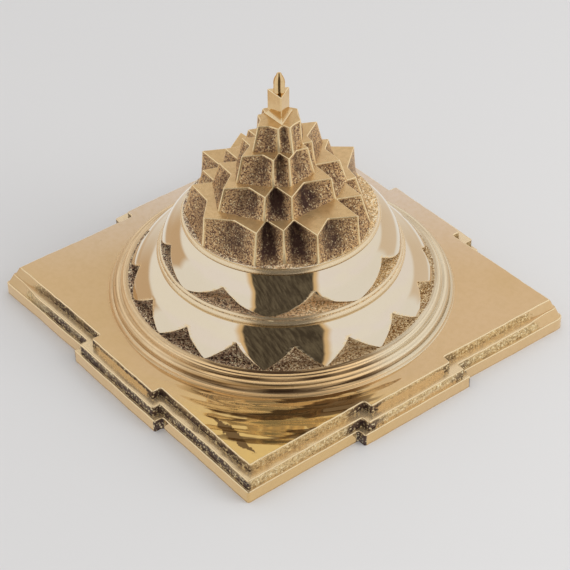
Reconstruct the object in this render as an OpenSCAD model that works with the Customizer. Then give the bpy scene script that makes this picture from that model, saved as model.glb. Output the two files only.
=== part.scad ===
// Meru shri yantra: a stepped square base with four gates, a turned ring, a drum of
// sixteen petals, a drum of eight petals and five tiers cut from the nine crossing
// triangles, stacked on one tie rod under a round-ended bindu.
// Millimetres, +Z up, origin at the centre of the base underside.
// +Y is the top of the diagram; the central triangle points to -Y.

/* [Base] */
// Side of the lowest square step
base_side = 150; // [130:1:180]
// Height of the lowest step
step1_h = 5; // [4:0.1:8]
// Height of the middle step
step2_h = 4.1; // [3:0.1:6]
// Height of the top step
step3_h = 3.4; // [3:0.1:6]
// Width of the lower tread
tread1_w = 1.1; // [0.6:0.1:3]
// Width of the upper tread
tread2_w = 3.2; // [1:0.1:5]
// Width of a gate on the lowest step
gate_w = 50.6; // [40:0.2:70]
// How far each gate stands out from its step
gate_out = 3.6; // [2:0.1:6]
// How much narrower each side of the gate is on the middle step
gate_inset1 = 2.6; // [1:0.1:4]
// How much narrower each side of the gate is on the top step, measured from the middle one
gate_inset2 = 3.8; // [1:0.1:5]

/* [Ring] */
// Width of the ring from its bore to its foot bead
ring_w = 14.4; // [12:0.1:17]
// Height of the ring
ring_h = 6.25; // [5:0.05:8]
// Radius of the small foot bead
ring_bead_r = 0.9; // [0.6:0.05:1.3]
// Radius of the lower ridge
ring_low_r = 2.2; // [1.6:0.05:2.6]
// Radius of the upper ridge
ring_high_r = 1.9; // [1.4:0.05:2.2]
// How far the upper ridge's centre line lies outside the petal tips
ring_high_out = 1.5; // [1:0.1:2]

/* [Sixteen petal drum] */
// Radius at the petal tips
drum16_foot_r = 57.4; // [55:0.1:59]
// Radius under the next drum
drum16_top_r = 46.2; // [45:0.1:48]
// Height of the petal band
drum16_h = 10.9; // [9:0.1:14]
// How far the petal band bulges past its chord
drum16_bulge = 1.7; // [0.8:0.1:2.5]
// Length of a cut between petals, up the slope
cut16_len = 8.2; // [6:0.1:10]
// Depth of a cut at the foot
cut16_depth = 5; // [3:0.1:6]
// Depth of a cut under its point
cut16_point = 0.8; // [0.4:0.1:1.5]
// How far a petal edge swells past a straight line
petal16_swell = 0.45; // [0.2:0.05:0.8]
// Radius of the spigot that seats in the base
spigot_r = 50.5; // [48:0.1:51]
// Depth of the seat in the base
seat_depth = 1.5; // [1:0.1:2.5]
// Radius of the hollow
hollow16_r = 43; // [38:0.1:44]
// Thickness of the deck over the hollow
deck16_t = 7.6; // [6:0.1:9]
// Height of the boss that centres the next drum
boss_h = 2.5; // [1.5:0.1:4]

/* [Eight petal drum] */
// Height of the double lip under the petals
lip8_h = 3.4; // [3:0.1:5]
// Radius of the lower lip bead
lip8_low_r = 1.05; // [0.8:0.05:1.3]
// Radius of the upper lip bead
lip8_high_r = 0.75; // [0.5:0.05:0.9]
// How far the lower lip's centre line lies outside the petal tips
lip8_out = 0.55; // [0.2:0.05:0.8]
// Radius at the petal tips
drum8_foot_r = 45; // [43.5:0.1:46]
// Radius at the top of the petal band
drum8_top_r = 36.9; // [36.4:0.1:38]
// Height of the petal band
drum8_h = 12.4; // [10:0.1:15]
// How far the petal band bulges past its chord
drum8_bulge = 1.6; // [0.8:0.1:2.5]
// Length of a cut between petals, up the slope
cut8_len = 8.2; // [6:0.1:10]
// Depth of a cut at the foot
cut8_depth = 7; // [5:0.1:8]
// Depth of a cut under its point
cut8_point = 0.9; // [0.4:0.1:1.5]
// How far a petal edge swells past a straight line
petal8_swell = 1; // [0.4:0.05:1.4]
// Radius of the pyramid floor
floor_r = 36.2; // [36:0.1:36.8]
// Radius of the bead round the floor
floor_bead_r = 1; // [0.7:0.05:1.1]
// Height of the band that carries the bead
floor_band_h = 2.6; // [2.3:0.1:4]
// Radius of the hollow
hollow8_r = 31; // [26:0.1:32]
// Thickness of the deck over the hollow
deck8_t = 8; // [6:0.1:10]

/* [Nine triangles] */
// Radius of the circle that holds the figure
figure_r = 35.3; // [33:0.1:35.8]
// Second row, above the centre
row2_y = 17.7; // [16.9:0.1:18.5]
// Third row, above the centre
row3_y = 10.3; // [9.8:0.1:10.8]
// Fifth row, above the centre
row5_y = 1.7; // [1.3:0.1:2.1]
// Seventh row, below the centre
row7_down = 8.3; // [7.8:0.1:8.8]
// Eighth row, below the centre
row8_down = 17.6; // [16.8:0.1:18.4]

/* [Tiers] */
// Height of the fourteen-triangle tier
tier14_h = 12.1; // [9:0.1:16]
// Height of the outer ten-triangle tier
tier10o_h = 8.7; // [7:0.1:12]
// Height of the inner ten-triangle tier
tier10i_h = 10.2; // [7:0.1:13]
// Height of the eight-triangle tier
tier8_h = 9.7; // [9:0.1:13]
// Draft of the tier walls at their points, in degrees
tier_draft = 4; // [0:0.5:6]
// Metal left at the root of each valley, fourteen triangles
fill14 = 1.6; // [0:0.1:3]
// Metal left at the root of each valley, outer ten triangles
fill10o = 0.9; // [0:0.1:2]
// Metal left at the root of each valley, inner ten triangles
fill10i = 0.55; // [0:0.05:1.2]
// Metal left at the root of each valley, eight triangles
fill8 = 1.5; // [1:0.05:1.8]

/* [Top] */
// Radius of the circle through the central triangle's corners
central_r = 4.7; // [4.4:0.1:5.2]
// Height of the central triangle
central_h = 10.7; // [8:0.1:14]
// Radius of the circle through its foot flange's corners
flange_r = 6.2; // [5.4:0.1:6.4]
// Thickness of the foot flange
flange_t = 0.8; // [0.5:0.1:1.5]
// Diameter of the tenon under the central triangle
tenon_d = 3; // [2:0.1:3.4]
// Length of that tenon
tenon_len = 2.6; // [2:0.1:3]
// Diameter of the bindu
bindu_d = 4.2; // [3.4:0.1:4.4]
// Height of the bindu
bindu_h = 7.9; // [6:0.1:10]
// Height of its straight part
bindu_straight = 3.2; // [2:0.1:4]
// Radius of its round end
bindu_end_r = 1.05; // [0.8:0.05:1.3]
// How far its side bulges past the chord above the straight part
bindu_bulge = 0.35; // [0.2:0.05:0.5]
// Diameter of its shank
bindu_shank_d = 2; // [1.4:0.1:2.4]
// Length of its shank
bindu_shank_len = 4; // [2:0.1:6]

/* [Tie rod and dowels] */
// Diameter of the tie rod
rod_d = 4; // [3:0.1:4.4]
// How deep the rod screws into the eight-triangle tier
rod_grip = 5.4; // [4:0.1:5.6]
// Height of the rod's lower end above the ground
rod_end_z = 0.7; // [0.4:0.1:1]
// Diameter of the pocket under the base
pocket_d = 14; // [13:0.5:20]
// Depth of the pocket
pocket_depth = 5.5; // [5:0.1:7]
// Outer diameter of the washer
washer_d = 12; // [9:0.5:12.5]
// Thickness of the washer
washer_t = 1; // [0.6:0.1:1.2]
// Width of the nut across its flats
nut_flats = 7; // [6:0.1:8]
// Thickness of the nut
nut_t = 3.2; // [2.4:0.1:3.3]
// Diameter of the drum dowels
drum_dowel_d = 3; // [2:0.1:4]
// Length of the drum dowels
drum_dowel_len = 8; // [6:0.5:10]
// Diameter of the tier dowels
tier_dowel_d = 1.5; // [1:0.1:1.7]
// Length of the tier dowels
tier_dowel_len = 6; // [4:0.5:7]

/* [Fits] */
// Radial clearance of spigot, boss and tenon seats
seat_clear = 0.1; // [0.05:0.05:0.3]
// Radial clearance of the rod in plain holes
rod_clear = 0.25; // [0.1:0.05:0.4]
// Radial clearance of threads, dowels and shanks
pin_clear = 0.05; // [0.02:0.01:0.1]

/* [Hidden] */
$fn = 96;
// Overlap that keeps cuts clear of the faces they open
eps = 0.5;
plate_brass = "#c9a671";
drum_brass = "#dccaa0";
tier_brass = "#b48f58";
hardware_steel = "#9a9a98";

// Levels, each on top of the one before
z_plate = step1_h + step2_h + step3_h;
z_seat = z_plate - seat_depth;
z_foot16 = z_plate + ring_h;
z_deck16 = z_foot16 + drum16_h;
z_foot8 = z_deck16 + lip8_h;
z_band8 = z_foot8 + drum8_h;
z_floor = z_band8 + floor_band_h;
z_top14 = z_floor + tier14_h;
z_top10o = z_top14 + tier10o_h;
z_top10i = z_top10o + tier10i_h;
z_top8 = z_top10i + tier8_h;
z_central = z_top8 + central_h;

// The seat in the base and the bore of the ring fit the same spigot.
seat_r = spigot_r + seat_clear;
ring_r = seat_r + ring_w;
rod_top = z_top10i + rod_grip;
rod_hole_r = rod_d / 2 + rod_clear;
thread_r = rod_d / 2 + pin_clear;
washer_z = pocket_depth - washer_t;
nut_z = washer_z - nut_t;
dowel16_x = (hollow16_r + spigot_r) / 2;
dowel8_x = (hollow8_r + drum8_foot_r) / 2;

row7_y = -row7_down;
row8_y = -row8_down;

// A triangle of the figure is [slope, apex, base]: its right side is x = slope * (y - apex).
function side(t, y) = t[0] * (y - t[1]);
function corner(t) = [side(t, t[2]), t[2]];
function apex(t) = [0, t[1]];
function on_side(t, y) = [side(t, y), y];
function cross_y(s, t) = (s[0] * s[1] - t[0] * t[1]) / (s[0] - t[0]);
function crossing(s, t) = on_side(s, cross_y(s, t));
function slope(p, q) = (p.x - q.x) / (p.y - q.y);

// The nine triangles for a trial sixth row; each line runs through the crossings before it.
function figure(row6) =
    let (t3 = [sqrt(figure_r ^ 2 - row3_y ^ 2) / (row3_y + figure_r), -figure_r, row3_y])
    let (t7 = [sqrt(figure_r ^ 2 - row7_y ^ 2) / (row7_y - figure_r), figure_r, row7_y])
    let (k9 = side(t3, row8_y) / (row8_y - row3_y))
    let (b = on_side(t7, row3_y))
    let (f = [k9 * (row7_y - row3_y), row7_y])
    let (k2 = slope(b, f))
    let (t2 = [k2, b.y - b.x / k2, row2_y])
    let (t9 = [k9, row3_y, t2[1]])
    let (k1 = side(t7, row2_y) / (row2_y - row6))
    let (c = [k1 * (row3_y - row6), row3_y])
    let (k8 = slope(c, on_side(t3, row7_y)))
    let (t8 = [k8, c.y - c.x / k8, row8_y])
    let (t1 = [k1, row6, t8[1]])
    let (t6 = [side(t2, row6) / (row6 - row2_y), row2_y, row6])
    let (row4 = cross_y(t1, t6))
    let (t4 = [side(t8, row4) / (row4 - row8_y), row8_y, row4])
    let (t5 = [side(t6, row5_y) / (row5_y - row7_y), row7_y, row5_y])
    [0, t1, t2, t3, t4, t5, t6, t7, t8, t9];

// The sixth row is right when the ninth and fourth triangles cross on it.
function miss(row6) = let (t = figure(row6)) cross_y(t[9], t[4]) - row6;
function closing_row(low, high, turns) =
    let (mid = (low + high) / 2)
    turns == 0 ? mid
    : miss(low) * miss(mid) <= 0 ? closing_row(low, mid, turns - 1)
    : closing_row(mid, high, turns - 1);
// The search runs between two shares of the seventh row and halves its span each turn.
row6_deep = 0.75;
row6_shallow = 0.1;
row6_turns = 40;
row6_y = closing_row(row7_y * row6_deep, row7_y * row6_shallow, row6_turns);
tri = figure(row6_y);

// Right half of each outline from top to bottom: tips and valleys by turns.
half14 = [
    apex(tri[7]), on_side(tri[7], tri[1][2]),
    corner(tri[1]), on_side(tri[7], row2_y),
    corner(tri[2]), on_side(tri[7], row3_y),
    corner(tri[3]), crossing(tri[3], tri[7]),
    corner(tri[7]), on_side(tri[3], row7_y),
    corner(tri[8]), on_side(tri[3], row8_y),
    corner(tri[9]), on_side(tri[3], tri[9][2]),
    apex(tri[3])
];
half10o = [
    apex(tri[8]), on_side(tri[8], row2_y),
    on_side(tri[7], row2_y), on_side(tri[1], row3_y),
    on_side(tri[7], row3_y), crossing(tri[2], tri[8]),
    on_side(tri[3], row7_y), on_side(tri[9], row7_y),
    on_side(tri[3], row8_y), on_side(tri[2], row8_y),
    apex(tri[2])
];
half10i = [
    apex(tri[6]), on_side(tri[6], row3_y),
    on_side(tri[1], row3_y), on_side(tri[1], tri[4][2]),
    corner(tri[4]), crossing(tri[4], tri[6]),
    corner(tri[6]), on_side(tri[9], row6_y),
    on_side(tri[9], row7_y), on_side(tri[4], row7_y),
    apex(tri[4])
];
half8 = [
    apex(tri[9]), on_side(tri[9], tri[4][2]),
    on_side(tri[1], tri[4][2]), on_side(tri[1], row5_y),
    corner(tri[5]), crossing(tri[5], tri[9]),
    on_side(tri[9], row6_y), on_side(tri[5], row6_y),
    apex(tri[5])
];

// Valleys moved towards the line between their two tips, as filing leaves them
function towards(p, q, d) = p + (q - p) * d / norm(q - p);
function filled(h, fill) = [
    for (i = [0 : len(h) - 1])
        i % 2 == 0 ? h[i] : towards(h[i], (h[i - 1] + h[i + 1]) / 2, fill)
];
// A half outline with its mirror image
function whole(h) = concat(h, [for (i = [len(h) - 2 : -1 : 1]) [-h[i].x, h[i].y]]);

outline14 = whole(filled(half14, fill14));
outline10o = whole(filled(half10o, fill10o));
outline10i = whole(filled(half10i, fill10i));
outline8 = whole(filled(half8, fill8));

// Dowels stand midway between the rod hole and the side valley of the tier above them.
function dowel_x(h, valley) = (rod_hole_r + h[valley].x) / 2;
dowel14 = dowel_x(half14, 7);
dowel10o = dowel_x(half10o, 5);
dowel10i = dowel_x(half10i, 5);
dowel_8 = dowel_x(half8, 5);

// A square with a gate in the middle of each side
function gated_square(half, gate_half) = [
    for (q = [0 : 3])
        let (c = cos(90 * q), s = sin(90 * q))
        for (p = [[half, -half], [half, -gate_half], [half + gate_out, -gate_half],
                  [half + gate_out, gate_half], [half, gate_half]])
            [p.x * c - p.y * s, p.x * s + p.y * c]
];

module step(half, gate_half, z, h) {
    translate([0, 0, z]) linear_extrude(h) polygon(gated_square(half, gate_half));
}

module bore(r, z0, z1) {
    translate([0, 0, z0]) cylinder(r = r, h = z1 - z0);
}

// A pair of cylinders on the X axis, left and right of the rod
module pair(x, r, z0, z1) {
    for (s = [-1, 1]) translate([s * x, 0, 0]) bore(r, z0, z1);
}

module dowels(x, d, len, z) {
    pair(x, d / 2, z - len / 2, z + len / 2);
}

module dowel_holes(x, d, len, z) {
    pair(x, d / 2 + pin_clear, z - len / 2 - pin_clear, z + len / 2 + pin_clear);
}

// Half section under an arc from [r0, z0] up to [r1, z1] that bulges past its chord
module bulged_section(r0, z0, r1, z1, bulge) {
    run = r0 - r1;
    rise = z1 - z0;
    chord = sqrt(run ^ 2 + rise ^ 2);
    arc_r = (chord ^ 2 / 4 + bulge ^ 2) / (2 * bulge);
    centre = [(r0 + r1) / 2 - (arc_r - bulge) * rise / chord, (z0 + z1) / 2 - (arc_r - bulge) * run / chord];
    intersection() {
        union() {
            translate(centre) circle(arc_r);
            translate([0, z0]) square([r1, rise]);
        }
        translate([0, z0]) square([r0 + bulge, rise]);
    }
}

// One cut between two petals: an outline with hollow sides, opened down to a creased floor.
module petal_cut(count, foot_r, foot_z, top_r, top_z, len, depth, point, swell) {
    lean = atan2(foot_r - top_r, top_z - foot_z);
    tip_w = foot_r * sin(180 / count);
    tip_drop = foot_r * (1 - cos(180 / count));
    tip_v = tip_drop * sin(lean);
    edge = sqrt(tip_w ^ 2 + (len - tip_v) ^ 2);
    edge_r = (edge ^ 2 / 4 + swell ^ 2) / (2 * swell);
    off = (edge_r - swell) / edge;
    open_half = atan2(tip_w, depth - tip_drop);
    crease_run = depth - len * sin(lean) - point * cos(lean);
    crease_lean = atan2(crease_run, len * cos(lean) - point * sin(lean));
    reach = 2 * depth;
    intersection() {
        translate([foot_r, 0, foot_z]) rotate([0, -lean, 0]) rotate([90, 0, 90])
            translate([0, 0, -reach]) linear_extrude(2 * reach) difference() {
                polygon([[-tip_w, -len], [tip_w, -len], [tip_w, tip_v], [0, len], [-tip_w, tip_v]]);
                for (s = [-1, 1])
                    translate([s * (tip_w / 2 + off * (len - tip_v)), (len + tip_v) / 2 + off * tip_w])
                        circle(edge_r);
            }
        translate([foot_r - depth, 0, foot_z]) rotate([0, crease_lean, 0])
            translate([0, 0, -len]) linear_extrude(3 * len)
                polygon([[0, 0], [reach, -reach * tan(open_half)], [reach, reach * tan(open_half)]]);
        translate([0, -foot_r, foot_z]) cube([2 * foot_r, 2 * foot_r, 2 * len]);
    }
}

module petal_cuts(count, foot_r, foot_z, top_r, top_z, len, depth, point, swell) {
    for (i = [0 : count - 1])
        rotate([0, 0, (i + 0.5) * 360 / count])
            petal_cut(count, foot_r, foot_z, top_r, top_z, len, depth, point, swell);
}

module base_plate() {
    half1 = base_side / 2;
    half2 = half1 - tread1_w;
    half3 = half2 - tread2_w;
    gate1 = gate_w / 2;
    gate2 = gate1 - gate_inset1;
    gate3 = gate2 - gate_inset2;
    color(plate_brass) difference() {
        union() {
            step(half1, gate1, 0, step1_h);
            step(half2, gate2, step1_h, step2_h);
            step(half3, gate3, step1_h + step2_h, step3_h);
        }
        bore(seat_r, z_seat, z_plate + eps);
        bore(rod_hole_r, 0, z_plate);
        bore(pocket_d / 2, -eps, pocket_depth);
        dowel_holes(dowel16_x, drum_dowel_d, drum_dowel_len, z_seat);
    }
}

module ring_moulding() {
    bead_c = [ring_r - ring_bead_r, z_plate + ring_bead_r];
    high_c = [drum16_foot_r + ring_high_out, z_foot16 - ring_high_r];
    low_c = [(bead_c.x + high_c.x) / 2, z_plate + ring_low_r];
    color(drum_brass) rotate_extrude() {
        intersection() {
            union() {
                translate(bead_c) circle(ring_bead_r);
                translate(low_c) circle(ring_low_r);
                translate(high_c) circle(ring_high_r);
                polygon([[seat_r, z_plate], [bead_c.x, z_plate], bead_c, low_c, high_c,
                         [high_c.x, z_foot16], [seat_r, z_foot16]]);
            }
            translate([seat_r, z_plate]) square([ring_r, ring_h]);
        }
    }
}

module sixteen_petal_drum() {
    color(drum_brass) difference() {
        union() {
            rotate_extrude() bulged_section(drum16_foot_r, z_foot16, drum16_top_r, z_deck16, drum16_bulge);
            bore(spigot_r, z_seat, z_foot16 + eps);
            bore(hollow8_r - seat_clear, z_deck16 - eps, z_deck16 + boss_h);
        }
        bore(hollow16_r, z_seat - eps, z_deck16 - deck16_t);
        bore(rod_hole_r, z_seat, z_deck16 + boss_h + eps);
        petal_cuts(16, drum16_foot_r, z_foot16, drum16_top_r, z_deck16,
                   cut16_len, cut16_depth, cut16_point, petal16_swell);
        dowel_holes(dowel16_x, drum_dowel_d, drum_dowel_len, z_seat);
        dowel_holes(dowel8_x, drum_dowel_d, drum_dowel_len, z_deck16);
    }
}

module eight_petal_drum() {
    low_c = [drum8_foot_r + lip8_out, z_deck16 + lip8_low_r];
    high_c = [drum8_foot_r, z_foot8 - lip8_high_r];
    bead_c = [floor_r, z_band8 + floor_bead_r];
    color(drum_brass) difference() {
        rotate_extrude() {
            bulged_section(drum8_foot_r, z_foot8, drum8_top_r, z_band8, drum8_bulge);
            translate([0, z_deck16]) square([drum8_foot_r, lip8_h]);
            translate(low_c) circle(lip8_low_r);
            translate(high_c) circle(lip8_high_r);
            translate([0, z_band8 - eps]) square([floor_r, floor_band_h + eps]);
            translate(bead_c) circle(floor_bead_r);
        }
        bore(hollow8_r, z_deck16 - eps, z_floor - deck8_t);
        bore(rod_hole_r, z_deck16, z_floor + eps);
        petal_cuts(8, drum8_foot_r, z_foot8, drum8_top_r, z_band8,
                   cut8_len, cut8_depth, cut8_point, petal8_swell);
        dowel_holes(dowel8_x, drum_dowel_d, drum_dowel_len, z_deck16);
        dowel_holes(dowel14, tier_dowel_d, tier_dowel_len, z_floor);
    }
}

// A star with the outline at its top; its foot is larger by the draft.
module star(outline, z0, z1) {
    reach = max([for (p = outline) norm(p)]);
    spread = 1 + (z1 - z0) * tan(tier_draft) / reach;
    translate([0, 0, z0]) linear_extrude(z1 - z0, scale = 1 / spread) polygon(spread * outline);
}

// A tier with its rod hole and the dowel holes of its two faces
module tier(outline, z0, z1, low_dowel, high_dowel) {
    difference() {
        star(outline, z0, z1);
        bore(rod_hole_r, z0 - eps, z1 + eps);
        dowel_holes(low_dowel, tier_dowel_d, tier_dowel_len, z0);
        dowel_holes(high_dowel, tier_dowel_d, tier_dowel_len, z1);
    }
}

module fourteen_triangle_tier() {
    color(tier_brass) tier(outline14, z_floor, z_top14, dowel14, dowel10o);
}

module outer_ten_triangle_tier() {
    color(tier_brass) tier(outline10o, z_top14, z_top10o, dowel10o, dowel10i);
}

module inner_ten_triangle_tier() {
    color(tier_brass) tier(outline10i, z_top10o, z_top10i, dowel10i, dowel_8);
}

module eight_triangle_tier() {
    color(tier_brass) difference() {
        star(outline8, z_top10i, z_top8);
        bore(thread_r, z_top10i - eps, rod_top + pin_clear);
        bore(tenon_d / 2 + seat_clear, z_top8 - tenon_len - seat_clear, z_top8 + eps);
        dowel_holes(dowel_8, tier_dowel_d, tier_dowel_len, z_top10i);
    }
}

// A three-sided prism that points to -Y
module three_sided(r, z, h) {
    translate([0, 0, z]) linear_extrude(h) polygon([for (a = [30, 150, 270]) r * [cos(a), sin(a)]]);
}

module central_triangle() {
    color(tier_brass) difference() {
        union() {
            three_sided(central_r, z_top8, central_h);
            three_sided(flange_r, z_top8, flange_t);
            bore(tenon_d / 2, z_top8 - tenon_len, z_top8 + eps);
        }
        bore(bindu_shank_d / 2 + pin_clear, z_central - bindu_shank_len - pin_clear, z_central + eps);
    }
}

module bindu() {
    shoulder_z = bindu_h - bindu_end_r;
    color(drum_brass) translate([0, 0, z_central]) rotate_extrude() {
        square([bindu_d / 2, bindu_straight]);
        bulged_section(bindu_d / 2, bindu_straight, bindu_end_r, shoulder_z, bindu_bulge);
        intersection() {
            translate([0, shoulder_z]) circle(bindu_end_r);
            translate([0, bindu_straight]) square([bindu_d, bindu_h]);
        }
        translate([0, -bindu_shank_len]) square([bindu_shank_d / 2, bindu_shank_len + eps]);
    }
}

module tie_rod() {
    color(hardware_steel) bore(rod_d / 2, rod_end_z, rod_top);
}

module rod_washer() {
    color(hardware_steel) difference() {
        bore(washer_d / 2, washer_z, pocket_depth);
        bore(rod_hole_r, washer_z - eps, pocket_depth + eps);
    }
}

module rod_nut() {
    color(hardware_steel) difference() {
        translate([0, 0, nut_z]) cylinder(r = nut_flats / 2 / cos(30), h = nut_t, $fn = 6);
        bore(thread_r, nut_z - eps, washer_z + eps);
    }
}

module drum_dowels() {
    color(hardware_steel) {
        dowels(dowel16_x, drum_dowel_d, drum_dowel_len, z_seat);
        dowels(dowel8_x, drum_dowel_d, drum_dowel_len, z_deck16);
    }
}

module tier_dowels() {
    color(hardware_steel) {
        dowels(dowel14, tier_dowel_d, tier_dowel_len, z_floor);
        dowels(dowel10o, tier_dowel_d, tier_dowel_len, z_top14);
        dowels(dowel10i, tier_dowel_d, tier_dowel_len, z_top10o);
        dowels(dowel_8, tier_dowel_d, tier_dowel_len, z_top10i);
    }
}

base_plate();
ring_moulding();
sixteen_petal_drum();
eight_petal_drum();
fourteen_triangle_tier();
outer_ten_triangle_tier();
inner_ten_triangle_tier();
eight_triangle_tier();
central_triangle();
bindu();
tie_rod();
rod_washer();
rod_nut();
drum_dowels();
tier_dowels();
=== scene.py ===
import math
import random
from functools import partial

import bmesh
import bpy
from mathutils import Matrix, Vector, noise


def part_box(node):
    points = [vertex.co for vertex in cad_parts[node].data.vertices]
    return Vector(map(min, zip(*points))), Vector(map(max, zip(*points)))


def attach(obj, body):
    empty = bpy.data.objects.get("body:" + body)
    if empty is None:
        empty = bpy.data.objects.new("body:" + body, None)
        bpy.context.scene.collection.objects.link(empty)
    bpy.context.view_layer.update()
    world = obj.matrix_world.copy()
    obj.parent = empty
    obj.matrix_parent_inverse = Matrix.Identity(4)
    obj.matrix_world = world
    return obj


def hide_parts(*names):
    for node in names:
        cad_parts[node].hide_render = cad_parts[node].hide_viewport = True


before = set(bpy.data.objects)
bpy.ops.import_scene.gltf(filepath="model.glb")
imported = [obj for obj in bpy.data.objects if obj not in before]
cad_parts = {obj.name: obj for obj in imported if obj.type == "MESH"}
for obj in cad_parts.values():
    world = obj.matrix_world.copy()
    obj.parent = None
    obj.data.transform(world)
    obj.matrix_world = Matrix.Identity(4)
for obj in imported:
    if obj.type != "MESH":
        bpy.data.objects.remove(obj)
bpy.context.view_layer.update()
mm = 0.001
dice = random.Random(11)
noise.seed_set(11)
towardsFront = Vector((-0.783, 0.622))     # the side that the photograph shows
towardsRight = Vector((-0.62, -0.78))
print("frame loaded with", len(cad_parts), "nodes")

# camera at the photograph's own angle
photoView = {
    "azimuth": 231.555,
    "elevation": 38.756,
    "roll": -0.612,
    "distance": 0.811,
    "target": (0.01055, -0.01004, 0.0),
    "lens": 131.83,
    "sensor": 36.0,
}


def viewAxes(view):
    az = math.radians(view["azimuth"])
    el = math.radians(view["elevation"])
    back = Vector((math.sin(az) * math.cos(el), -math.cos(az) * math.cos(el), math.sin(el)))
    right = Vector((math.cos(az), math.sin(az), 0.0))
    return right, back.cross(right), back


def addObject(name, data):
    made = bpy.data.objects.new(name, data)
    bpy.context.scene.collection.objects.link(made)
    return made


def addCamera(view):
    right, up, back = viewAxes(view)
    roll = math.radians(view["roll"])
    rolledRight = right * math.cos(roll) + up * math.sin(roll)
    rolledUp = up * math.cos(roll) - right * math.sin(roll)
    eye = Vector(view["target"]) + back * view["distance"]
    lensData = bpy.data.cameras.new("photoCamera")
    lensData.sensor_width = view["sensor"]
    lensData.lens = view["lens"]
    cameraObject = addObject("photoCamera", lensData)
    turn = Matrix((rolledRight, rolledUp, back)).transposed().to_4x4()
    cameraObject.matrix_world = Matrix.Translation(eye) @ turn
    bpy.context.scene.camera = cameraObject


addCamera(photoView)
print("camera placed")


# small tools for node trees; the id_data of a socket is the tree that holds it
def addNode(tree, kind, **settings):
    node = tree.nodes.new(kind)
    for name, value in settings.items():
        setattr(node, name, value)
    return node


def setInputs(node, **values):
    for name, value in values.items():
        node.inputs[name.replace("_", " ")].default_value = value
    return node


# an input takes a number, a colour or the output of another node
def feed(slot, source):
    if isinstance(source, tuple):
        slot.default_value = (*source, 1.0)
    elif isinstance(source, (int, float)):
        slot.default_value = source
    else:
        slot.id_data.links.new(source, slot)


def mathNode(operation, first, *others):
    node = addNode(first.id_data, "ShaderNodeMath", operation=operation)
    for slot, source in zip(node.inputs, (first, *others)):
        feed(slot, source)
    return node.outputs[0]


times = partial(mathNode, "MULTIPLY")
plus = partial(mathNode, "ADD")
minus = partial(mathNode, "SUBTRACT")


def ramp(source, low, high, out=(0.0, 1.0)):
    node = addNode(source.id_data, "ShaderNodeMapRange", interpolation_type="SMOOTHSTEP")
    setInputs(node, From_Min=low, From_Max=high, To_Min=out[0], To_Max=out[1])
    feed(node.inputs["Value"], source)
    return node.outputs["Result"]


def mixNode(dataType, kind, factor, first, second):
    node = addNode(factor.id_data, "ShaderNodeMix", data_type=dataType)
    for name, wanted, source in (("Factor", "VALUE", factor), ("A", kind, first), ("B", kind, second)):
        feed(next(s for s in node.inputs if s.name == name and s.type == wanted), source)
    return next(s for s in node.outputs if s.type == kind)


mixColour = partial(mixNode, "RGBA", "RGBA")
mixValue = partial(mixNode, "FLOAT", "VALUE")


def noiseNode(vector, scale, detail=2.0, rough=0.5):
    node = setInputs(addNode(vector.id_data, "ShaderNodeTexNoise"), Detail=detail, Roughness=rough)
    feed(node.inputs["Vector"], vector)
    feed(node.inputs["Scale"], scale)
    return node.outputs["Fac"]


def objectPlace(tree):
    return addNode(tree, "ShaderNodeTexCoord").outputs["Object"]


def attributeValue(tree, name):
    return addNode(tree, "ShaderNodeAttribute", attribute_name=name).outputs["Fac"]


def splitVector(vector):
    node = addNode(vector.id_data, "ShaderNodeSeparateXYZ")
    feed(node.inputs[0], vector)
    return tuple(node.outputs)


def combined(*parts):
    node = addNode(parts[0].id_data, "ShaderNodeCombineXYZ")
    for slot, part in zip(node.inputs, parts):
        feed(slot, part)
    return node.outputs[0]


# how far a place lies to one side of the axis
def sideways(place, side):
    node = addNode(place.id_data, "ShaderNodeVectorMath", operation="DOT_PRODUCT")
    node.inputs[1].default_value = (*side, 0.0)
    feed(node.inputs[0], place)
    return node.outputs["Value"]


def startGroup(name, **inputs):
    tree = bpy.data.node_groups.new(name, "ShaderNodeTree")
    for label, value in inputs.items():
        socket = tree.interface.new_socket(label, in_out="INPUT", socket_type="NodeSocketFloat")
        socket.default_value = value
    return tree, addNode(tree, "NodeGroupInput").outputs


def closeGroup(tree, **results):
    for label in results:
        tree.interface.new_socket(label, in_out="OUTPUT", socket_type="NodeSocketFloat")
    out = addNode(tree, "NodeGroupOutput")
    for label, source in results.items():
        feed(out.inputs[label], source)
    return tree


# cast skin: sand cells with dark pits, bright filed specks, and painted light that makes the skin lighter
# towards the right
castLook = {
    "blotch": (330.0, 3.0, 0.6),      # scale, detail and roughness of a noise
    "lumps": (800.0, 2.0, 0.6),
    "grit": 0.5,                      # share of the cells in the tone and in the ragged rim
    "rim": (0.25, 0.6),               # from and to of a ramp
    "reach": (0.0, 0.12),
    "pits": (0.40, 0.58),
    "specks": (0.0, 0.1),
    # painted light: where the skin turns to its lighter, lit tones towards the right
    "litSide": (-0.005, 0.055),
    "litSideDrift": 0.03,
    "cellDepth": 0.6,
}


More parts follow.
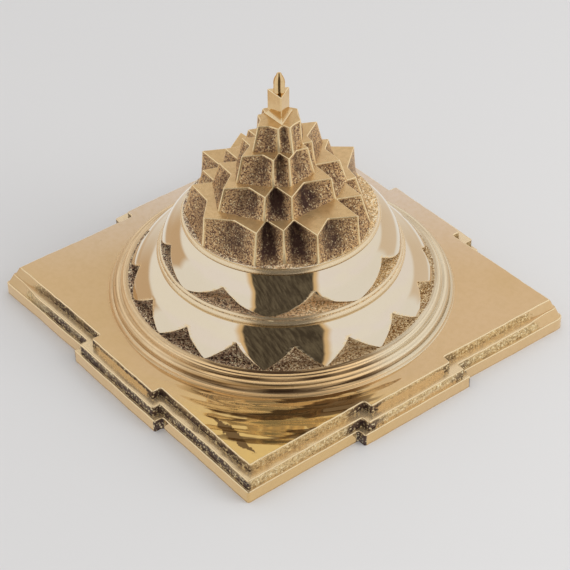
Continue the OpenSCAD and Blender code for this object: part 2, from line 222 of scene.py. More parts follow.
def buildCastGrain(look):
    tree, given = startGroup("castGrain", Mask=0.0, Grain=1900.0, Ragged=0.6, Fleck=0.8)
    place = objectPlace(tree)
    blotch = noiseNode(place, *look["blotch"])
    lumps = noiseNode(place, *look["lumps"])
    cells = addNode(tree, "ShaderNodeTexVoronoi")
    feed(cells.inputs["Vector"], place)
    feed(cells.inputs["Scale"], given["Grain"])
    grit = addNode(tree, "ShaderNodeSeparateColor")
    feed(grit.inputs[0], cells.outputs["Color"])
    tone = plus(times(grit.outputs["Red"], look["grit"]), times(lumps, 1.0 - look["grit"]))
    drift = times(minus(blotch, 0.5), given["Ragged"])
    grainy = times(minus(grit.outputs["Green"], 0.5), look["grit"])
    ragged = plus(plus(given["Mask"], drift), grainy)
    mask = times(ramp(ragged, *look["rim"]), ramp(given["Mask"], *look["reach"]))
    litReach = plus(sideways(place, towardsRight), times(blotch, look["litSideDrift"]))
    height = minus(lumps, times(cells.outputs["Distance"], look["cellDepth"]))
    return closeGroup(
        tree,
        Mask=mask,
        Pits=ramp(tone, *look["pits"]),
        Specks=ramp(minus(grit.outputs["Blue"], given["Fleck"]), *look["specks"]),
        Patina=ramp(litReach, *look["litSide"]),
        Height=times(height, mask),
    )


# hand polish: slow waves, fine scratches, smudges and a few pinholes
polishLook = {
    "wave": (2.0, 0.45),              # detail and roughness of a noise
    "scratch": (2.0, 0.6),
    "scratchTurn": (0.0, 0.0, 0.9),
    "scratchStretch": (16.0, 1.0, 1.0),
    "scratchDepth": 0.025,
    "smudge": ((70.0, 4.0, 0.6), (0.35, 0.75)),   # a noise and the ramp that it goes through
    "tone": ((22.0, 3.0, 0.55), (0.3, 0.7)),
    "mottle": ((500.0, 3.0, 0.7), (0.35, 0.7)),
    "holes": ((330.0, 1.0, 0.5), (0.8, 0.83)),
}


def buildHandPolish(look):
    tree, given = startGroup("handPolish", Wave=45.0, Scratch=900.0)
    place = objectPlace(tree)
    stroke = addNode(tree, "ShaderNodeMapping", vector_type="TEXTURE")
    setInputs(stroke, Rotation=look["scratchTurn"], Scale=look["scratchStretch"])
    feed(stroke.inputs["Vector"], place)
    wave = noiseNode(place, given["Wave"], *look["wave"])
    scratch = noiseNode(stroke.outputs["Vector"], given["Scratch"], *look["scratch"])

    def spots(name):
        size, edge = look[name]
        return ramp(noiseNode(place, *size), *edge)

    return closeGroup(
        tree,
        Height=plus(wave, times(scratch, look["scratchDepth"])),
        Smudge=spots("smudge"),
        Tone=spots("tone"),
        Mottle=spots("mottle"),
        Holes=spots("holes"),
    )


castGrain = buildCastGrain(castLook)
handPolish = buildHandPolish(polishLook)


def placeGroup(tree, group, **values):
    return setInputs(addNode(tree, "ShaderNodeGroup", node_tree=group), **values)


def emptyMaterial(name):
    material = bpy.data.materials.new(name)
    material.use_nodes = True
    material.node_tree.nodes.clear()
    return material, material.node_tree, addNode(material.node_tree, "ShaderNodeOutputMaterial")


def startMaterial(name):
    material, tree, out = emptyMaterial(name)
    shader = addNode(tree, "ShaderNodeBsdfPrincipled")
    feed(out.inputs["Surface"], shader.outputs["BSDF"])
    return material, tree, shader


def bumpChain(tree, shader, layers):
    last = None
    for height, distance in layers:
        bump = setInputs(addNode(tree, "ShaderNodeBump"), Strength=1.0, Distance=distance)
        feed(bump.inputs["Height"], height)
        if last is not None:
            feed(bump.inputs["Normal"], last.outputs["Normal"])
        last = bump
    feed(shader.inputs["Normal"], last.outputs["Normal"])


# distance from the axis, the two parts of the direction outwards, and the height
def polarParts(tree):
    x, y, z = splitVector(objectPlace(tree))
    length = addNode(tree, "ShaderNodeVectorMath", operation="LENGTH")
    feed(length.inputs[0], combined(x, y))
    radius = length.outputs["Value"]
    return radius, mathNode("DIVIDE", x, radius), mathNode("DIVIDE", y, radius), z


def facingRamp(across, along, side, *bounds):
    return ramp(plus(times(across, side.x), times(along, side.y)), *bounds)


# a place for noise that is drawn out round the axis
def roundStroke(radius, across, along, fine, start, turn):
    return combined(mathNode("MULTIPLY_ADD", radius, fine, start), times(across, turn), times(along, turn))


# rings left by the lathe, with how far a place faces the front and the right, which steer the ring's
# painted light
latheLook = {
    "drift": 0.0016,                  # how far the noise changes round the axis
    "lines": (800.0, 2.0, 0.55),
    "front": (0.72, 0.98, (0.35, 0.9)),
    "right": (0.1, 0.7),
}


def turningLines(tree, look):
    radius, across, along, z = polarParts(tree)
    place = combined(radius, plus(z, times(along, look["drift"])), times(across, look["drift"]))
    share = facingRamp(across, along, towardsFront, *look["front"])
    return noiseNode(place, *look["lines"]), share, facingRamp(across, along, towardsRight, *look["right"])


# the plate was polished up to the ring: it dips a little there, in uneven strokes round the ring
dipLook = {
    "fade": -60.0,
    "most": 1.2,
    "front": (0.2, 0.85),
    "stroke": (210.0, 0.0, 1.7),      # across the strokes, where they start, and along them
    "uneven": (1.0, 1.0, 0.3),
    "calm": (0.02, 0.05, (1.0, 0.4)),
    "unevenDepth": 0.00045,
    "depth": 0.0009,
}


def polishedDip(tree, ringRadius, look):
    radius, across, along, z = polarParts(tree)
    gap = minus(radius, ringRadius)
    dip = mathNode("MINIMUM", mathNode("EXPONENT", times(gap, look["fade"])), look["most"])
    stroke = roundStroke(radius, across, along, *look["stroke"])
    uneven = times(noiseNode(stroke, *look["uneven"]), ramp(gap, *look["calm"]))
    relief = minus(times(uneven, look["unevenDepth"]), times(dip, look["depth"]))
    return times(relief, facingRamp(across, along, towardsFront, *look["front"]))


# tarnish and painted dark reflection on the plate in front: ragged strokes round the ring, and a stripe
# along the front-left edge
tarnishAndReflectionLook = {
    "stroke": (165.0, 1.15, 1.7),
    "ragged": (1.0, 3.0, 0.55),
    "edge": (0.515, 0.545),
    "front": (0.84, 0.94),
    "reach": (0.028, 0.02),           # from the ring outwards
    "fray": ((420.0, 3.0, 0.6), (0.3, 0.7, (-0.0007, 0.0007))),
    "stripeY": 0.0658,
    "stripeX": (83.0, 4.6),           # one over its half length, and the same times its distance
    "stripeHalf": 0.0021,
    "stripeEdge": (0.0002, -0.0002),
}


def frontTarnishAndReflection(tree, ringRadius, look):
    radius, across, along, z = polarParts(tree)
    ragged = noiseNode(roundStroke(radius, across, along, *look["stroke"]), *look["ragged"])
    near = times(facingRamp(across, along, towardsFront, *look["front"]),
                 ramp(minus(radius, ringRadius), *look["reach"]))
    place = objectPlace(tree)
    x, y, z = splitVector(place)
    frayNoise, frayEdge = look["fray"]
    frayed = ramp(noiseNode(place, *frayNoise), *frayEdge)
    aside = mathNode("ABSOLUTE", plus(minus(y, look["stripeY"]), frayed))
    ahead = mathNode("MULTIPLY_ADD", x, *look["stripeX"])
    taper = mathNode("MULTIPLY_ADD", times(ahead, ahead), look["stripeHalf"], -look["stripeHalf"])
    stripe = ramp(plus(aside, taper), *look["stripeEdge"])
    return mathNode("MAXIMUM", times(ramp(ragged, *look["edge"]), near), stripe)


# brass: polished faces, brighter filed edges, a cast skin where the grain attribute says, and painted shade
# where the painted-shade attribute says
def brassMaterial(look):
    material, tree, shader = startMaterial(look["name"])
    grain = placeGroup(tree, castGrain, Grain=look["grain"], Ragged=look["ragged"], Fleck=look["flecks"])
    polish = placeGroup(tree, handPolish, Wave=look["wave"], Scratch=look["scratch"])
    wear, soot = attributeValue(tree, "wear"), attributeValue(tree, "soot")
    feed(grain.inputs["Mask"], attributeValue(tree, "grain"))
    mask, specks, litSide = (grain.outputs[name] for name in ("Mask", "Specks", "Patina"))
    face = mixColour(polish.outputs["Tone"], look["bright"], look["warm"])
    layers = [(polish.outputs["Height"], look["waveDepth"])]
    if "front" in look:
        place = objectPlace(tree)
        towards = sideways(place, towardsFront)
        nearFront = ramp(towards, *look["metalReach"])
        onTop = ramp(splitVector(place)[2], look["topZ"] - look["topDepth"], look["topZ"])
        # painted reflection: the plate is paler towards the back; towards the front its top turns a deeper
        # orange, its sides only a little
        face = mixColour(ramp(towards, *look["backReach"]), face, look["back"])
        inFront = times(ramp(towards, *look["frontReach"]), ramp(onTop, 0.0, 1.0, look["frontSides"]))
        face = mixColour(inFront, face, look["front"])
    face = mixColour(times(polish.outputs["Mottle"], look["mottle"]), face, look["deep"])
    if "turned" in look:
        lines, share, rightward = turningLines(tree, latheLook)
        nearFront = ramp(share, *look["metalReach"])
        # painted light on the ring: paler towards the right, a painted highlight; a warmer gold tone
        # towards the front, and lathe lines darker there, a painted dark reflection
        face = mixColour(rightward, face, look["right"])
        face = mixColour(nearFront, face, look["frontTone"])
        dark = times(ramp(lines, *look["lineEdge"], (0.0, look["turned"])), share)
        face = mixColour(dark, face, look["deep"])
        # painted shade in the ring's grooves
        face = mixColour(times(soot, look["grooveShare"]), face, look["grooveShadeTone"])
        layers.append((lines, look["lineDepth"]))
    if "dipRadius" in look:
        layers.append((polishedDip(tree, look["dipRadius"], dipLook), 1.0))
        # tarnish with a painted dark reflection on the front of the plate's top
        tarnishAndReflection = times(frontTarnishAndReflection(tree, look["dipRadius"], tarnishAndReflectionLook), look["tarnishAndReflectionShare"])
        face = mixColour(times(tarnishAndReflection, onTop), face, look["tarnishAndReflection"])
        # on the plate the painted lit side is wherever its painted shade is weak
        litSide = ramp(soot, *look["sootPatina"])
    face = mixColour(wear, face, look["edge"])
    face = mixColour(polish.outputs["Holes"], face, look["pit"])
    # painted light: sand, pits and shade take their lit tones on the lit side and their darker tones
    # elsewhere
    sand = mixColour(litSide, look["shadedSand"], look["sand"])
    hollows = mixColour(litSide, look["pit"], look["litPit"])
    skin = mixColour(grain.outputs["Pits"], hollows, sand)
    skin = mixColour(specks, skin, look["fleck"])
    # painted shade: the cast skin is darkened towards the shade tone where the painted-shade attribute is
    # high, less over the bright specks
    shadeAmount = times(soot, ramp(litSide, 0.0, 1.0, (look["soot"], look["litSideShade"])))
    shadeAmount = times(shadeAmount, ramp(specks, 0.0, 1.0, (1.0, look["shadeOnSpecks"])))
    skin = mixColour(shadeAmount, skin, look["shadeTone"])
    smooth = mixValue(wear, ramp(polish.outputs["Smudge"], 0.0, 1.0, look["polish"]), look["wearRough"])
    rough = ramp(specks, 0.0, 1.0, (look["rough"], look["speckRough"]))
    faceMetal = look.get("faceMetal", 1.0)
    if "frontMetal" in look:
        faceMetal = ramp(nearFront, 0.0, 1.0, (faceMetal, look["frontMetal"]))
    metal = mixValue(wear, faceMetal, look["wearMetal"])
    feed(shader.inputs["Base Color"], mixColour(mask, face, skin))
    feed(shader.inputs["Roughness"], mixValue(mask, smooth, rough))
    feed(shader.inputs["Metallic"], mixValue(mask, metal, look["skinMetal"]))
    shader.inputs["Specular IOR Level"].default_value = look["shine"]
    layers.append((grain.outputs["Height"], look["grainDepth"]))
    bumpChain(tree, shader, layers)
    return material


# colours of the cast skin: the darker sand and pit tones belong to the painted shaded side, the lighter
# ones to the painted lit side
castSkin = {
    "pit": (0.085, 0.048, 0.032),
    "litPit": (0.29, 0.16, 0.065),
    "shadedSand": (0.42, 0.28, 0.18),
    "sand": (0.64, 0.48, 0.27),
    "fleck": (0.98, 0.85, 0.58),
    "shadeTone": (0.055, 0.032, 0.03),
    "soot": 0.75,
    "litSideShade": 0.1,
    "rough": 0.45,
    "speckRough": 0.25,
    "wearRough": 0.36,
    "wearMetal": 0.8,
    "skinMetal": 0.55,
    "grainDepth": 0.0002,
    "grain": 2100.0,
    "ragged": 0.6,
    "flecks": 0.8,
    "shadeOnSpecks": 0.72,
    "shine": 0.2,
}
plateBrass = brassMaterial({
    **castSkin, "name": "plateBrass", "wave": 38.0, "scratch": 260.0, "mottle": 0.22,
    "bright": (0.685, 0.478, 0.26), "warm": (0.65, 0.445, 0.22), "deep": (0.55, 0.37, 0.16),
    "edge": (0.86, 0.70, 0.45), "polish": (0.02, 0.07), "waveDepth": 0.00012,
    "pit": (0.04, 0.022, 0.018), "shadedSand": (0.20, 0.125, 0.075), "sand": (0.74, 0.55, 0.28),
    "litPit": (0.45, 0.31, 0.145), "fleck": (0.95, 0.8, 0.5), "grain": 1800.0,
    "soot": 0.7, "litSideShade": 0.7, "shadeOnSpecks": 0.3, "sootPatina": (0.75, 0.05),
    "back": (0.72, 0.59, 0.465), "backReach": (0.0, -0.07),
    "front": (0.75, 0.505, 0.175), "frontReach": (0.05, 0.085), "frontSides": (0.25, 1.0),
    "faceMetal": 0.62, "frontMetal": 0.74, "metalReach": (0.035, 0.06),
    "tarnishAndReflection": (0.11, 0.055, 0.02), "tarnishAndReflectionShare": 0.9, "dipRadius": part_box("ring_moulding")[1].x,
    "topZ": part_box("base_plate")[1].z, "topDepth": 0.0006,
})
turnedBrass = brassMaterial({
    **castSkin, "name": "turnedBrass", "wave": 60.0, "scratch": 600.0, "mottle": 0.12,
    "bright": (0.88, 0.68, 0.43), "warm": (0.85, 0.64, 0.385), "deep": (0.40, 0.24, 0.09),
    "edge": (0.86, 0.72, 0.5), "polish": (0.26, 0.38), "waveDepth": 0.0002,
    "turned": 0.95, "lineDepth": 0.0003, "lineEdge": (0.52, 0.6),
    "grooveShadeTone": (0.05, 0.024, 0.012), "grooveShare": 0.96,
    "right": (0.81, 0.695, 0.50), "frontTone": (0.92, 0.64, 0.33),
    "faceMetal": 0.72, "frontMetal": 0.42, "metalReach": (0.35, 0.9), "shine": 0.1,
})
petalFace = {
    "wave": 40.0, "scratch": 900.0, "mottle": 0.05,
    "bright": (0.82, 0.725, 0.58), "warm": (0.81, 0.705, 0.545), "deep": (0.66, 0.54, 0.36),
    "edge": (0.84, 0.66, 0.40), "polish": (0.02, 0.06), "waveDepth": 0.00008,
}
petalBrass = brassMaterial({**castSkin, **petalFace, "name": "petalBrass", "skinMetal": 0.35})
lotusBrass = brassMaterial({
    **castSkin, **petalFace, "name": "lotusBrass", "skinMetal": 0.1,
    "pit": (0.16, 0.10, 0.07), "litPit": (0.45, 0.285, 0.115),
    "shadedSand": (0.68, 0.47, 0.28), "sand": (0.84, 0.59, 0.295),
    "soot": 0.7, "litSideShade": 0.6, "shadeTone": (0.10, 0.06, 0.04), "shine": 0.4,
})
tierBrass = brassMaterial({
    **castSkin, "name": "tierBrass", "wave": 70.0, "scratch": 700.0, "mottle": 0.4,
    "bright": (0.70, 0.485, 0.245), "warm": (0.64, 0.43, 0.2), "deep": (0.45, 0.29, 0.12),
    "edge": (0.95, 0.79, 0.5), "polish": (0.24, 0.38), "waveDepth": 0.0002, "faceMetal": 0.7,
    "soot": 0.9, "litSideShade": 0.9, "shadeTone": (0.055, 0.027, 0.019), "grain": 2700.0, "flecks": 0.86,
    "pit": (0.19, 0.105, 0.065), "litPit": (0.19, 0.105, 0.06),
    "shadedSand": (0.68, 0.44, 0.22), "sand": (0.66, 0.42, 0.20), "fleck": (0.98, 0.78, 0.46),
})
binduBrass = brassMaterial({
    **castSkin, "name": "binduBrass", "wave": 90.0, "scratch": 700.0, "mottle": 0.25,
    "bright": (0.84, 0.62, 0.34), "warm": (0.76, 0.55, 0.29), "deep": (0.5, 0.33, 0.15),
    "edge": (0.92, 0.78, 0.52), "polish": (0.06, 0.14), "waveDepth": 0.00012,
})
steelLook = {
    "wave": 90.0,
    "scratch": 1600.0,
    "bright": (0.50, 0.50, 0.49),
    "grey": (0.38, 0.38, 0.38),
    "rust": (0.16, 0.12, 0.09),
    "polish": (0.28, 0.45),
    "waveDepth": 0.0001,
}


def steelMaterial(look):
    material, tree, shader = startMaterial("hardwareSteel")
    shader.inputs["Metallic"].default_value = 1.0
    polish = placeGroup(tree, handPolish, Wave=look["wave"], Scratch=look["scratch"])
    tone = mixColour(polish.outputs["Tone"], look["bright"], look["grey"])
    feed(shader.inputs["Base Color"], mixColour(polish.outputs["Holes"], tone, look["rust"]))
    feed(shader.inputs["Roughness"], ramp(polish.outputs["Smudge"], 0.0, 1.0, look["polish"]))
    bumpChain(tree, shader, [(polish.outputs["Height"], look["waveDepth"])])
    return material


hardwareSteel = steelMaterial(steelLook)
print("materials made")


# lofting tools: a loop of vertices is extruded and its copy is put in its place
def startLoop(bm, points):
    verts = [bm.verts.new(p) for p in points]
    for i, vert in enumerate(verts):
        bm.edges.new((vert, verts[(i + 1) % len(verts)]))
    return verts


def loopEdges(bm, verts):
    return [bm.edges.get((vert, verts[(i + 1) % len(verts)])) for i, vert in enumerate(verts)]


def nextLoop(bm, verts, points):
    made = bmesh.ops.extrude_edge_only(bm, edges=loopEdges(bm, verts))["geom"]
    fresh = {g for g in made if isinstance(g, bmesh.types.BMVert)}
    copies = []
    for vert, point in zip(verts, points):
        copy = next(e.other_vert(vert) for e in vert.link_edges if e.other_vert(vert) in fresh)
        copy.co = point
        copies.append(copy)
    return copies


# vertex attributes: cast skin, filed wear, and painted shade
def paintLayers(bm):
    return {name: bm.verts.layers.float.new(name) for name in ("grain", "wear", "soot")}


def markLoop(verts, layers, **paint):
    for name, layer in layers.items():
        value = paint.get(name, 0.0)
        for i, vert in enumerate(verts):
            vert[layer] = value[i] if isinstance(value, list) else value


def loftLoops(bm, layers, loops):
    made = []
    for points, paint in loops:
        made.append(nextLoop(bm, made[-1], points) if made else startLoop(bm, points))
        markLoop(made[-1], layers, **paint)
    return made


def fillFlat(bm, *loops):
    edges = [e for loop in loops for e in loopEdges(bm, loop)]
    bmesh.ops.triangle_fill(bm, use_beauty=True, use_dissolve=False, edges=edges)


def closeUp(bm, reach=0.000002, shortest=0.000002):
    bmesh.ops.remove_doubles(bm, verts=bm.verts, dist=reach)
    bmesh.ops.dissolve_degenerate(bm, edges=bm.edges, dist=shortest)
    bmesh.ops.recalc_face_normals(bm, faces=bm.faces)


# small lumps of the casting, only where the grain is
def roughen(bm, layers, lumps, level=True):
    amount, pitch = (size * mm for size in lumps)
    bm.normal_update()
    shifts = []
    for vert in bm.verts:
        if vert[layers["grain"]] < 0.05 or vert.is_boundary:
            continue
        lump = noise.noise(vert.co / pitch) + 0.6 * noise.noise(vert.co * 2.3 / pitch)
        shift = vert.normal * lump * amount * vert[layers["grain"]]
        if level:
            shift.z = 0.0
        shifts.append((vert, shift))
    for vert, shift in shifts:
        vert.co += shift


def meshObject(bm, name, material):
    mesh = bpy.data.meshes.new(name)
    bm.to_mesh(mesh)
    bm.free()
    mesh.materials.append(material)
    return addObject(name, mesh)


def finishPiece(bm, name, node, material, sharp, weighted=False):
    piece = meshObject(bm, name, material)
    mesh = piece.data
    mesh.polygons.foreach_set("use_smooth", [True] * len(mesh.polygons))
    mesh.set_sharp_from_angle(angle=math.radians(sharp))
    if weighted:
        normals = piece.modifiers.new("flatFaces", "WEIGHTED_NORMAL")
        normals.keep_sharp = True
        normals.weight = 100
    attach(piece, "root")
    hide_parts(node)
    print("piece", name, "has", len(mesh.polygons), "faces")


def step01(value, low, high):
    t = min(max((value - low) / (high - low), 0.0), 1.0)
    return t * t * (3.0 - 2.0 * t)


def fade(value, low, high):
    return 1.0 - step01(value, low, high)


def nearestGap(p, places):
    return min((p - place).length for place in places) / mm


def mixed(a, b, share):
    return a + (b - a) * share


# an uneven strength: its mean, its swing and the size of its patches
def patchy(p, mean, swing, size):
    return mean + swing * noise.noise(p / (size * mm))


# the vertices along a closed row of edges
def chainAlong(edges, start):
    chain = [start]
    while True:
        edge = next((e for e in chain[-1].link_edges if e in edges), None)
        if edge is None:
            return chain[:-1]
        edges.discard(edge)
        chain.append(edge.other_vert(chain[-1]))


def wobbled(point, amount, pitch, seed):
    drift = noise.noise_vector(Vector((point.x, point.y, seed * pitch)) / pitch)
    return point + Vector((drift.x, drift.y)) * amount


def atHeight(points, z):
    return [Vector((p.x, p.y, z)) for p in points]


def circleLike(points, radius, z):
    return [Vector((p.x, p.y, 0.0)).normalized() * radius + Vector((0.0, 0.0, z)) for p in points]


# an outline with every corner drawn as a short curve and every wall as a row of points
def roundedOutline(corners, trims, cornerPoints, wallPoints):
    points = []
    for i, corner in enumerate(corners):
        before, after = corners[i - 1], corners[(i + 1) % len(corners)]
        start = corner + (before - corner).normalized() * trims[i]
        end = corner + (after - corner).normalized() * trims[i]
        far = after + (corner - after).normalized() * trims[(i + 1) % len(corners)]
        for k in range(cornerPoints):
            t = k / (cornerPoints - 1)
            points.append(start.lerp(corner, t).lerp(corner.lerp(end, t), t))
        count = wallPoints[i % len(wallPoints)]
        points += [end.lerp(far, k / count) for k in range(1, count)]
    return points


def insetCorners(corners, distance):
    moved = []
    for i, p in enumerate(corners):
        first = (p - corners[i - 1]).normalized()
        second = (corners[(i + 1) % len(corners)] - p).normalized()
        inward = Vector((-first.y - second.y, first.x + second.x))
        moved.append(p + inward.normalized() * (distance * 2 / max(inward.length, 0.5)))
    return moved


# the rounded top edge of a wall, as loops that lean inwards from one outline to another
def rimLoops(outer, inner, top, radius):
    loops = []
    for turn, wear in ((25, 0.8), (50, 1.0), (75, 1.0), (90, 0.0)):
        angle = math.radians(turn)
        points = [a.lerp(b, 1 - math.cos(angle)) for a, b in zip(outer, inner)]
        loops.append((atHeight(points, top - radius * (1 - math.sin(angle))), {"wear": wear}))
    return loops


# stepped base: one loop of points carried up the risers and over the treads
stepBase = {
    "heights": (5.0, 4.1, 3.4),       # the three risers, from the floor up
    "treads": (1.1, 3.2),
    "side": 75.0,                     # half the length of a side
    "gateWidth": 50.6,
    "gateOut": 3.6,
    "gateInsets": (2.6, 3.8),
    "rimRound": 0.4,
    "flat": 0.15,
    "skirt": 0.3,
    "cornerRound": (2.5, 1.6, 1.1, 3.4),   # back, left, front and right corners of the lowest level
    "cornerOut": (0.0, 1.1, 0.0, 1.3),     # how far the same corners are drawn out
    "stepLoss": 0.85,                 # how much of the steps is lost at the left and right corners
    "stepReach": (5.0, 20.0),
    "shadeReach": (8.0, 38.0),
    "shadeLine": (-2.0, 0.5),
    "shadePatches": (0.85, 0.6, 9.0),
    "shadeLeast": 0.1,
    "notchReach": (0.8, 12.0),
    "notchBack": 0.35,                # strength of the painted shade beside the gates at the back
    "notchFront": (30, 70),
    "returnReach": ((0.3, 1.5), (0.4, 1.0)),   # grain and painted shade of the lowest riser, by the gates' hollows and sides
    "gateRound": 0.9,
    "gateBlend": 5.0,
    "satin": (0.6, 0.7),              # filed foot and rim of the risers
    "skirtGrain": 0.15,
    "rimShade": 0.65,                  # share of the painted shade that is left at the rim
    "rimReach": (0.3, 1.0),
    "rightFiled": 0.7,                # how far the gates on the right are filed on the middle level
    "filedReach": (0.35, 0.8),
    "lostReach": (0.25, 0.8),
    "riserGrain": ((0.0, 1.0), (0.25, 1.0), (0.5, 1.0), (0.75, 0.95), (1.0, 0.45)),   # from foot to rim
    "cornerPoints": 6,
    "wallPoints": (40, 4, 44, 4, 40),
    "wobble": (0.25, 16.0),           # how much, and how far apart
    "nicks": (0.08, 0.2, 0.2),
    "nickPitch": 3.5,
    "lumps": (0.14, 1.3),
    "seatRing": 14.4,                 # width of the ring that stands round the seat
    "bore": 2.25,
    "pocket": (7.0, 5.5),
}


def gatedSquare(half, gateHalf, gateOut, cornerOut):
    corners = []
    for quarter in range(4):
        turn = Matrix.Rotation(quarter * math.pi / 2, 2)
        far = half + cornerOut[quarter] * mm / math.sqrt(2)
        for corner in ((far, -far), (half, -gateHalf), (half + gateOut, -gateHalf),
                       (half + gateOut, gateHalf), (half, gateHalf)):
            corners.append(turn @ Vector(corner))
    return corners


# painted shade on the risers: the two left sides are dark but for their far corner, the rest only beside
# the gates
def baseShade(spec, p, hollows):
    leftward = p.x + p.y
    fromCorner = 2 * spec["side"] * mm - abs(leftward)
    dark = step01(leftward / mm, *spec["shadeLine"]) * step01(fromCorner / mm, *spec["shadeReach"])
    dark *= patchy(p.to_3d(), *spec["shadePatches"])
    notch = fade(nearestGap(p, hollows), *spec["notchReach"])
    notch *= mixed(spec["notchBack"], 1.0, step01(p.dot(towardsFront) / mm, *spec["notchFront"]))
    return max(dark, spec["shadeLeast"]), notch


def fromMiddle(p):
    return min(abs(p.x), abs(p.y))


def buildBase(spec):
    low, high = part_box("base_plate")
    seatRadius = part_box("ring_moulding")[1].x - spec["seatRing"] * mm
    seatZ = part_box("sixteen_petal_drum")[0].z
    half = high.x - spec["gateOut"] * mm
    gateHalf = spec["gateWidth"] * mm / 2
    loops = []
    z = low.z
    steppedIn = 0.0
    for level, rise in enumerate(spec["heights"]):
        corners = gatedSquare(half, gateHalf, spec["gateOut"] * mm, spec["cornerOut"])

        def outlineAtInset(inset):
            trims = []
            for radius in spec["cornerRound"]:
                rounds = [spec["gateRound"] + bend * inset for bend in (1, -1, -1, 1)]
                trims += [max(trim, 0.3) * mm for trim in [radius - steppedIn - inset] + rounds]
            moved = insetCorners(corners, inset * mm)
            points = roundedOutline(moved, trims, spec["cornerPoints"], spec["wallPoints"])
            amount, pitch = spec["wobble"]
            points = [wobbled(p, amount * mm, pitch * mm, level * 5.0) for p in points]
            amount, pitch = spec["nicks"][level], spec["nickPitch"]
            return [wobbled(p, amount * mm, pitch * mm, level * 3.0) for p in points]

        outline = outlineAtInset(0.0)
        top = z + rise * mm
        hollows = [corner for i, corner in enumerate(corners) if i % 5 in (1, 4)]
        blend = spec["gateBlend"] * mm
        onGate = [fade(fromMiddle(p), gateHalf - blend, gateHalf) for p in outline]
        if level == 0:
            hollowReach, sideReach = spec["returnReach"]
            returns = [max(fade(nearestGap(p, hollows), *hollowReach),
                           fade(abs(fromMiddle(p) - gateHalf) / mm, *sideReach)) for p in outline]
            spans = [2 * spec["side"] - abs(p.x + p.y) / mm for p in outline]
            lost = [spec["stepLoss"] * fade(span, *spec["stepReach"]) for span in spans]
        # painted shade on the risers: dark on the left sides and beside the gates
        riserShade = [baseShade(spec, p, hollows) for p in outline]
        footSatin, rimSatin = spec["satin"]
        if level:
            paint = {"grain": spec["skirtGrain"], "wear": [footSatin * (1.0 - loss) for loss in lost]}
            loops.append((atHeight(outlineAtInset(-spec["skirt"]), z), paint))
        for share, grain in spec["riserGrain"]:
            if level:
                keep = mixed(1.0, spec["rimShade"], step01(share, *spec["rimReach"]))
                lowDown = fade(share, *spec["filedReach"])
                filed = [level == 2 or spec["rightFiled"] * step01(-p.x - p.y, 0.0, blend) for p in outline]
                bare = [1.0 - gate * much * lowDown for gate, much in zip(onGate, filed)]
                cast = [grain * fade(loss, *spec["lostReach"]) for loss in lost]
                paint = {"grain": [skin * left for skin, left in zip(cast, bare)],
                         "wear": [footSatin * (1.0 - left) for left in bare],
                         "soot": [min(max(dark, notch) * keep, 1.0) for dark, notch in riserShade]}
            else:
                paint = {"grain": returns, "soot": returns}
            loops.append((atHeight(outline, z + (rise - spec["rimRound"]) * mm * share), paint))
        loops += rimLoops(outline, outlineAtInset(spec["rimRound"]), top, spec["rimRound"] * mm)
        satin = [rimSatin * (1.0 - loss) if level < 2 else 0.0 for loss in lost]
        loops.append((atHeight(outlineAtInset(spec["rimRound"] + spec["flat"]), top), {"wear": satin}))
        if level == 0:
            ledge = loops[-1][0]
        z = top
        if level < 2:
            half -= spec["treads"][level] * mm
            gateHalf -= spec["gateInsets"][level] * mm
            steppedIn += spec["treads"][level]
    wallTop = high.z - spec["rimRound"] * mm
    for points, paint in loops:
        share = (points[0].z - ledge[0].z) / (high.z - ledge[0].z)
        if share < -0.001 or points[0].z > wallTop + 0.00001 or points is ledge:
            continue
        for i, p in enumerate(points):
            slope = ledge[i].lerp(outline[i].to_3d(), share)
            points[i] = Vector((*p.xy.lerp(slope.xy, lost[i]), p.z))
    pocketRadius, pocketTop = spec["pocket"]
    for radius, height in ((seatRadius, high.z), (seatRadius, seatZ), (spec["bore"] * mm, seatZ),
                           (spec["bore"] * mm, pocketTop * mm), (pocketRadius * mm, pocketTop * mm),
                           (pocketRadius * mm, low.z)):
        loops.append((circleLike(outline, radius, height), {}))
    bm = bmesh.new()
    layers = paintLayers(bm)
    made = loftLoops(bm, layers, loops)
    bmesh.ops.bridge_loops(bm, edges=loopEdges(bm, made[0]) + loopEdges(bm, made[-1]))
    closeUp(bm)
    roughen(bm, layers, spec["lumps"])
    finishPiece(bm, "steppedBase", "base_plate", plateBrass, 50.0, True)


buildBase(stepBase)


# turned ring: its section is spun round the axis
turnedRing = {
    "beadRadius": 0.9,
    "lowRadius": 2.2,
    "highRadius": 1.9,
    "highOut": 1.5,
    "width": 14.4,
    "runOut": 0.5,                # how far its foot runs out onto the plate
    "toolMarks": 0.05,
    "grooveEvery": 8,
    "grooveDepths": (2.4, 1.8),   # its middle and the points beside that, in tool marks
    "grooveShadeAmounts": (1.0, 0.9),
    "footShade": 0.6,
    "topShade": 0.6,               # how far out from the petals the top gets painted shade
    "shadeFront": (0.75, 0.99),
    "shadeShare": (0.18, 1.13),    # at the back and in front
    "streaks": (0.82, 0.9),       # mean and swing
    "landWidth": 2.5,
    "landGrain": (0.1, 0.3),      # the top is rough within this of the petals' foot, up and out
    "turns": 256,
}


def arcPoints(centre, radius, start, end, count):
    points = []
    for k in range(count + 1):
        angle = math.radians(start + (end - start) * k / count)
        points.append((centre[0] + radius * math.cos(angle), centre[1] + radius * math.sin(angle)))
    return points


def circleMeet(first, firstRadius, second, secondRadius):
    a, b = Vector(first), Vector(second)
    gap = (b - a).length
    along = (firstRadius ** 2 - secondRadius ** 2 + gap ** 2) / (2 * gap)
    lift = math.sqrt(max(firstRadius ** 2 - along ** 2, 0.0))
    axis = (b - a) / gap
    return a + axis * along + Vector((-axis.y, axis.x)) * -lift


def angleAt(centre, point):
    return math.degrees(math.atan2(point[1] - centre[1], point[0] - centre[0]))


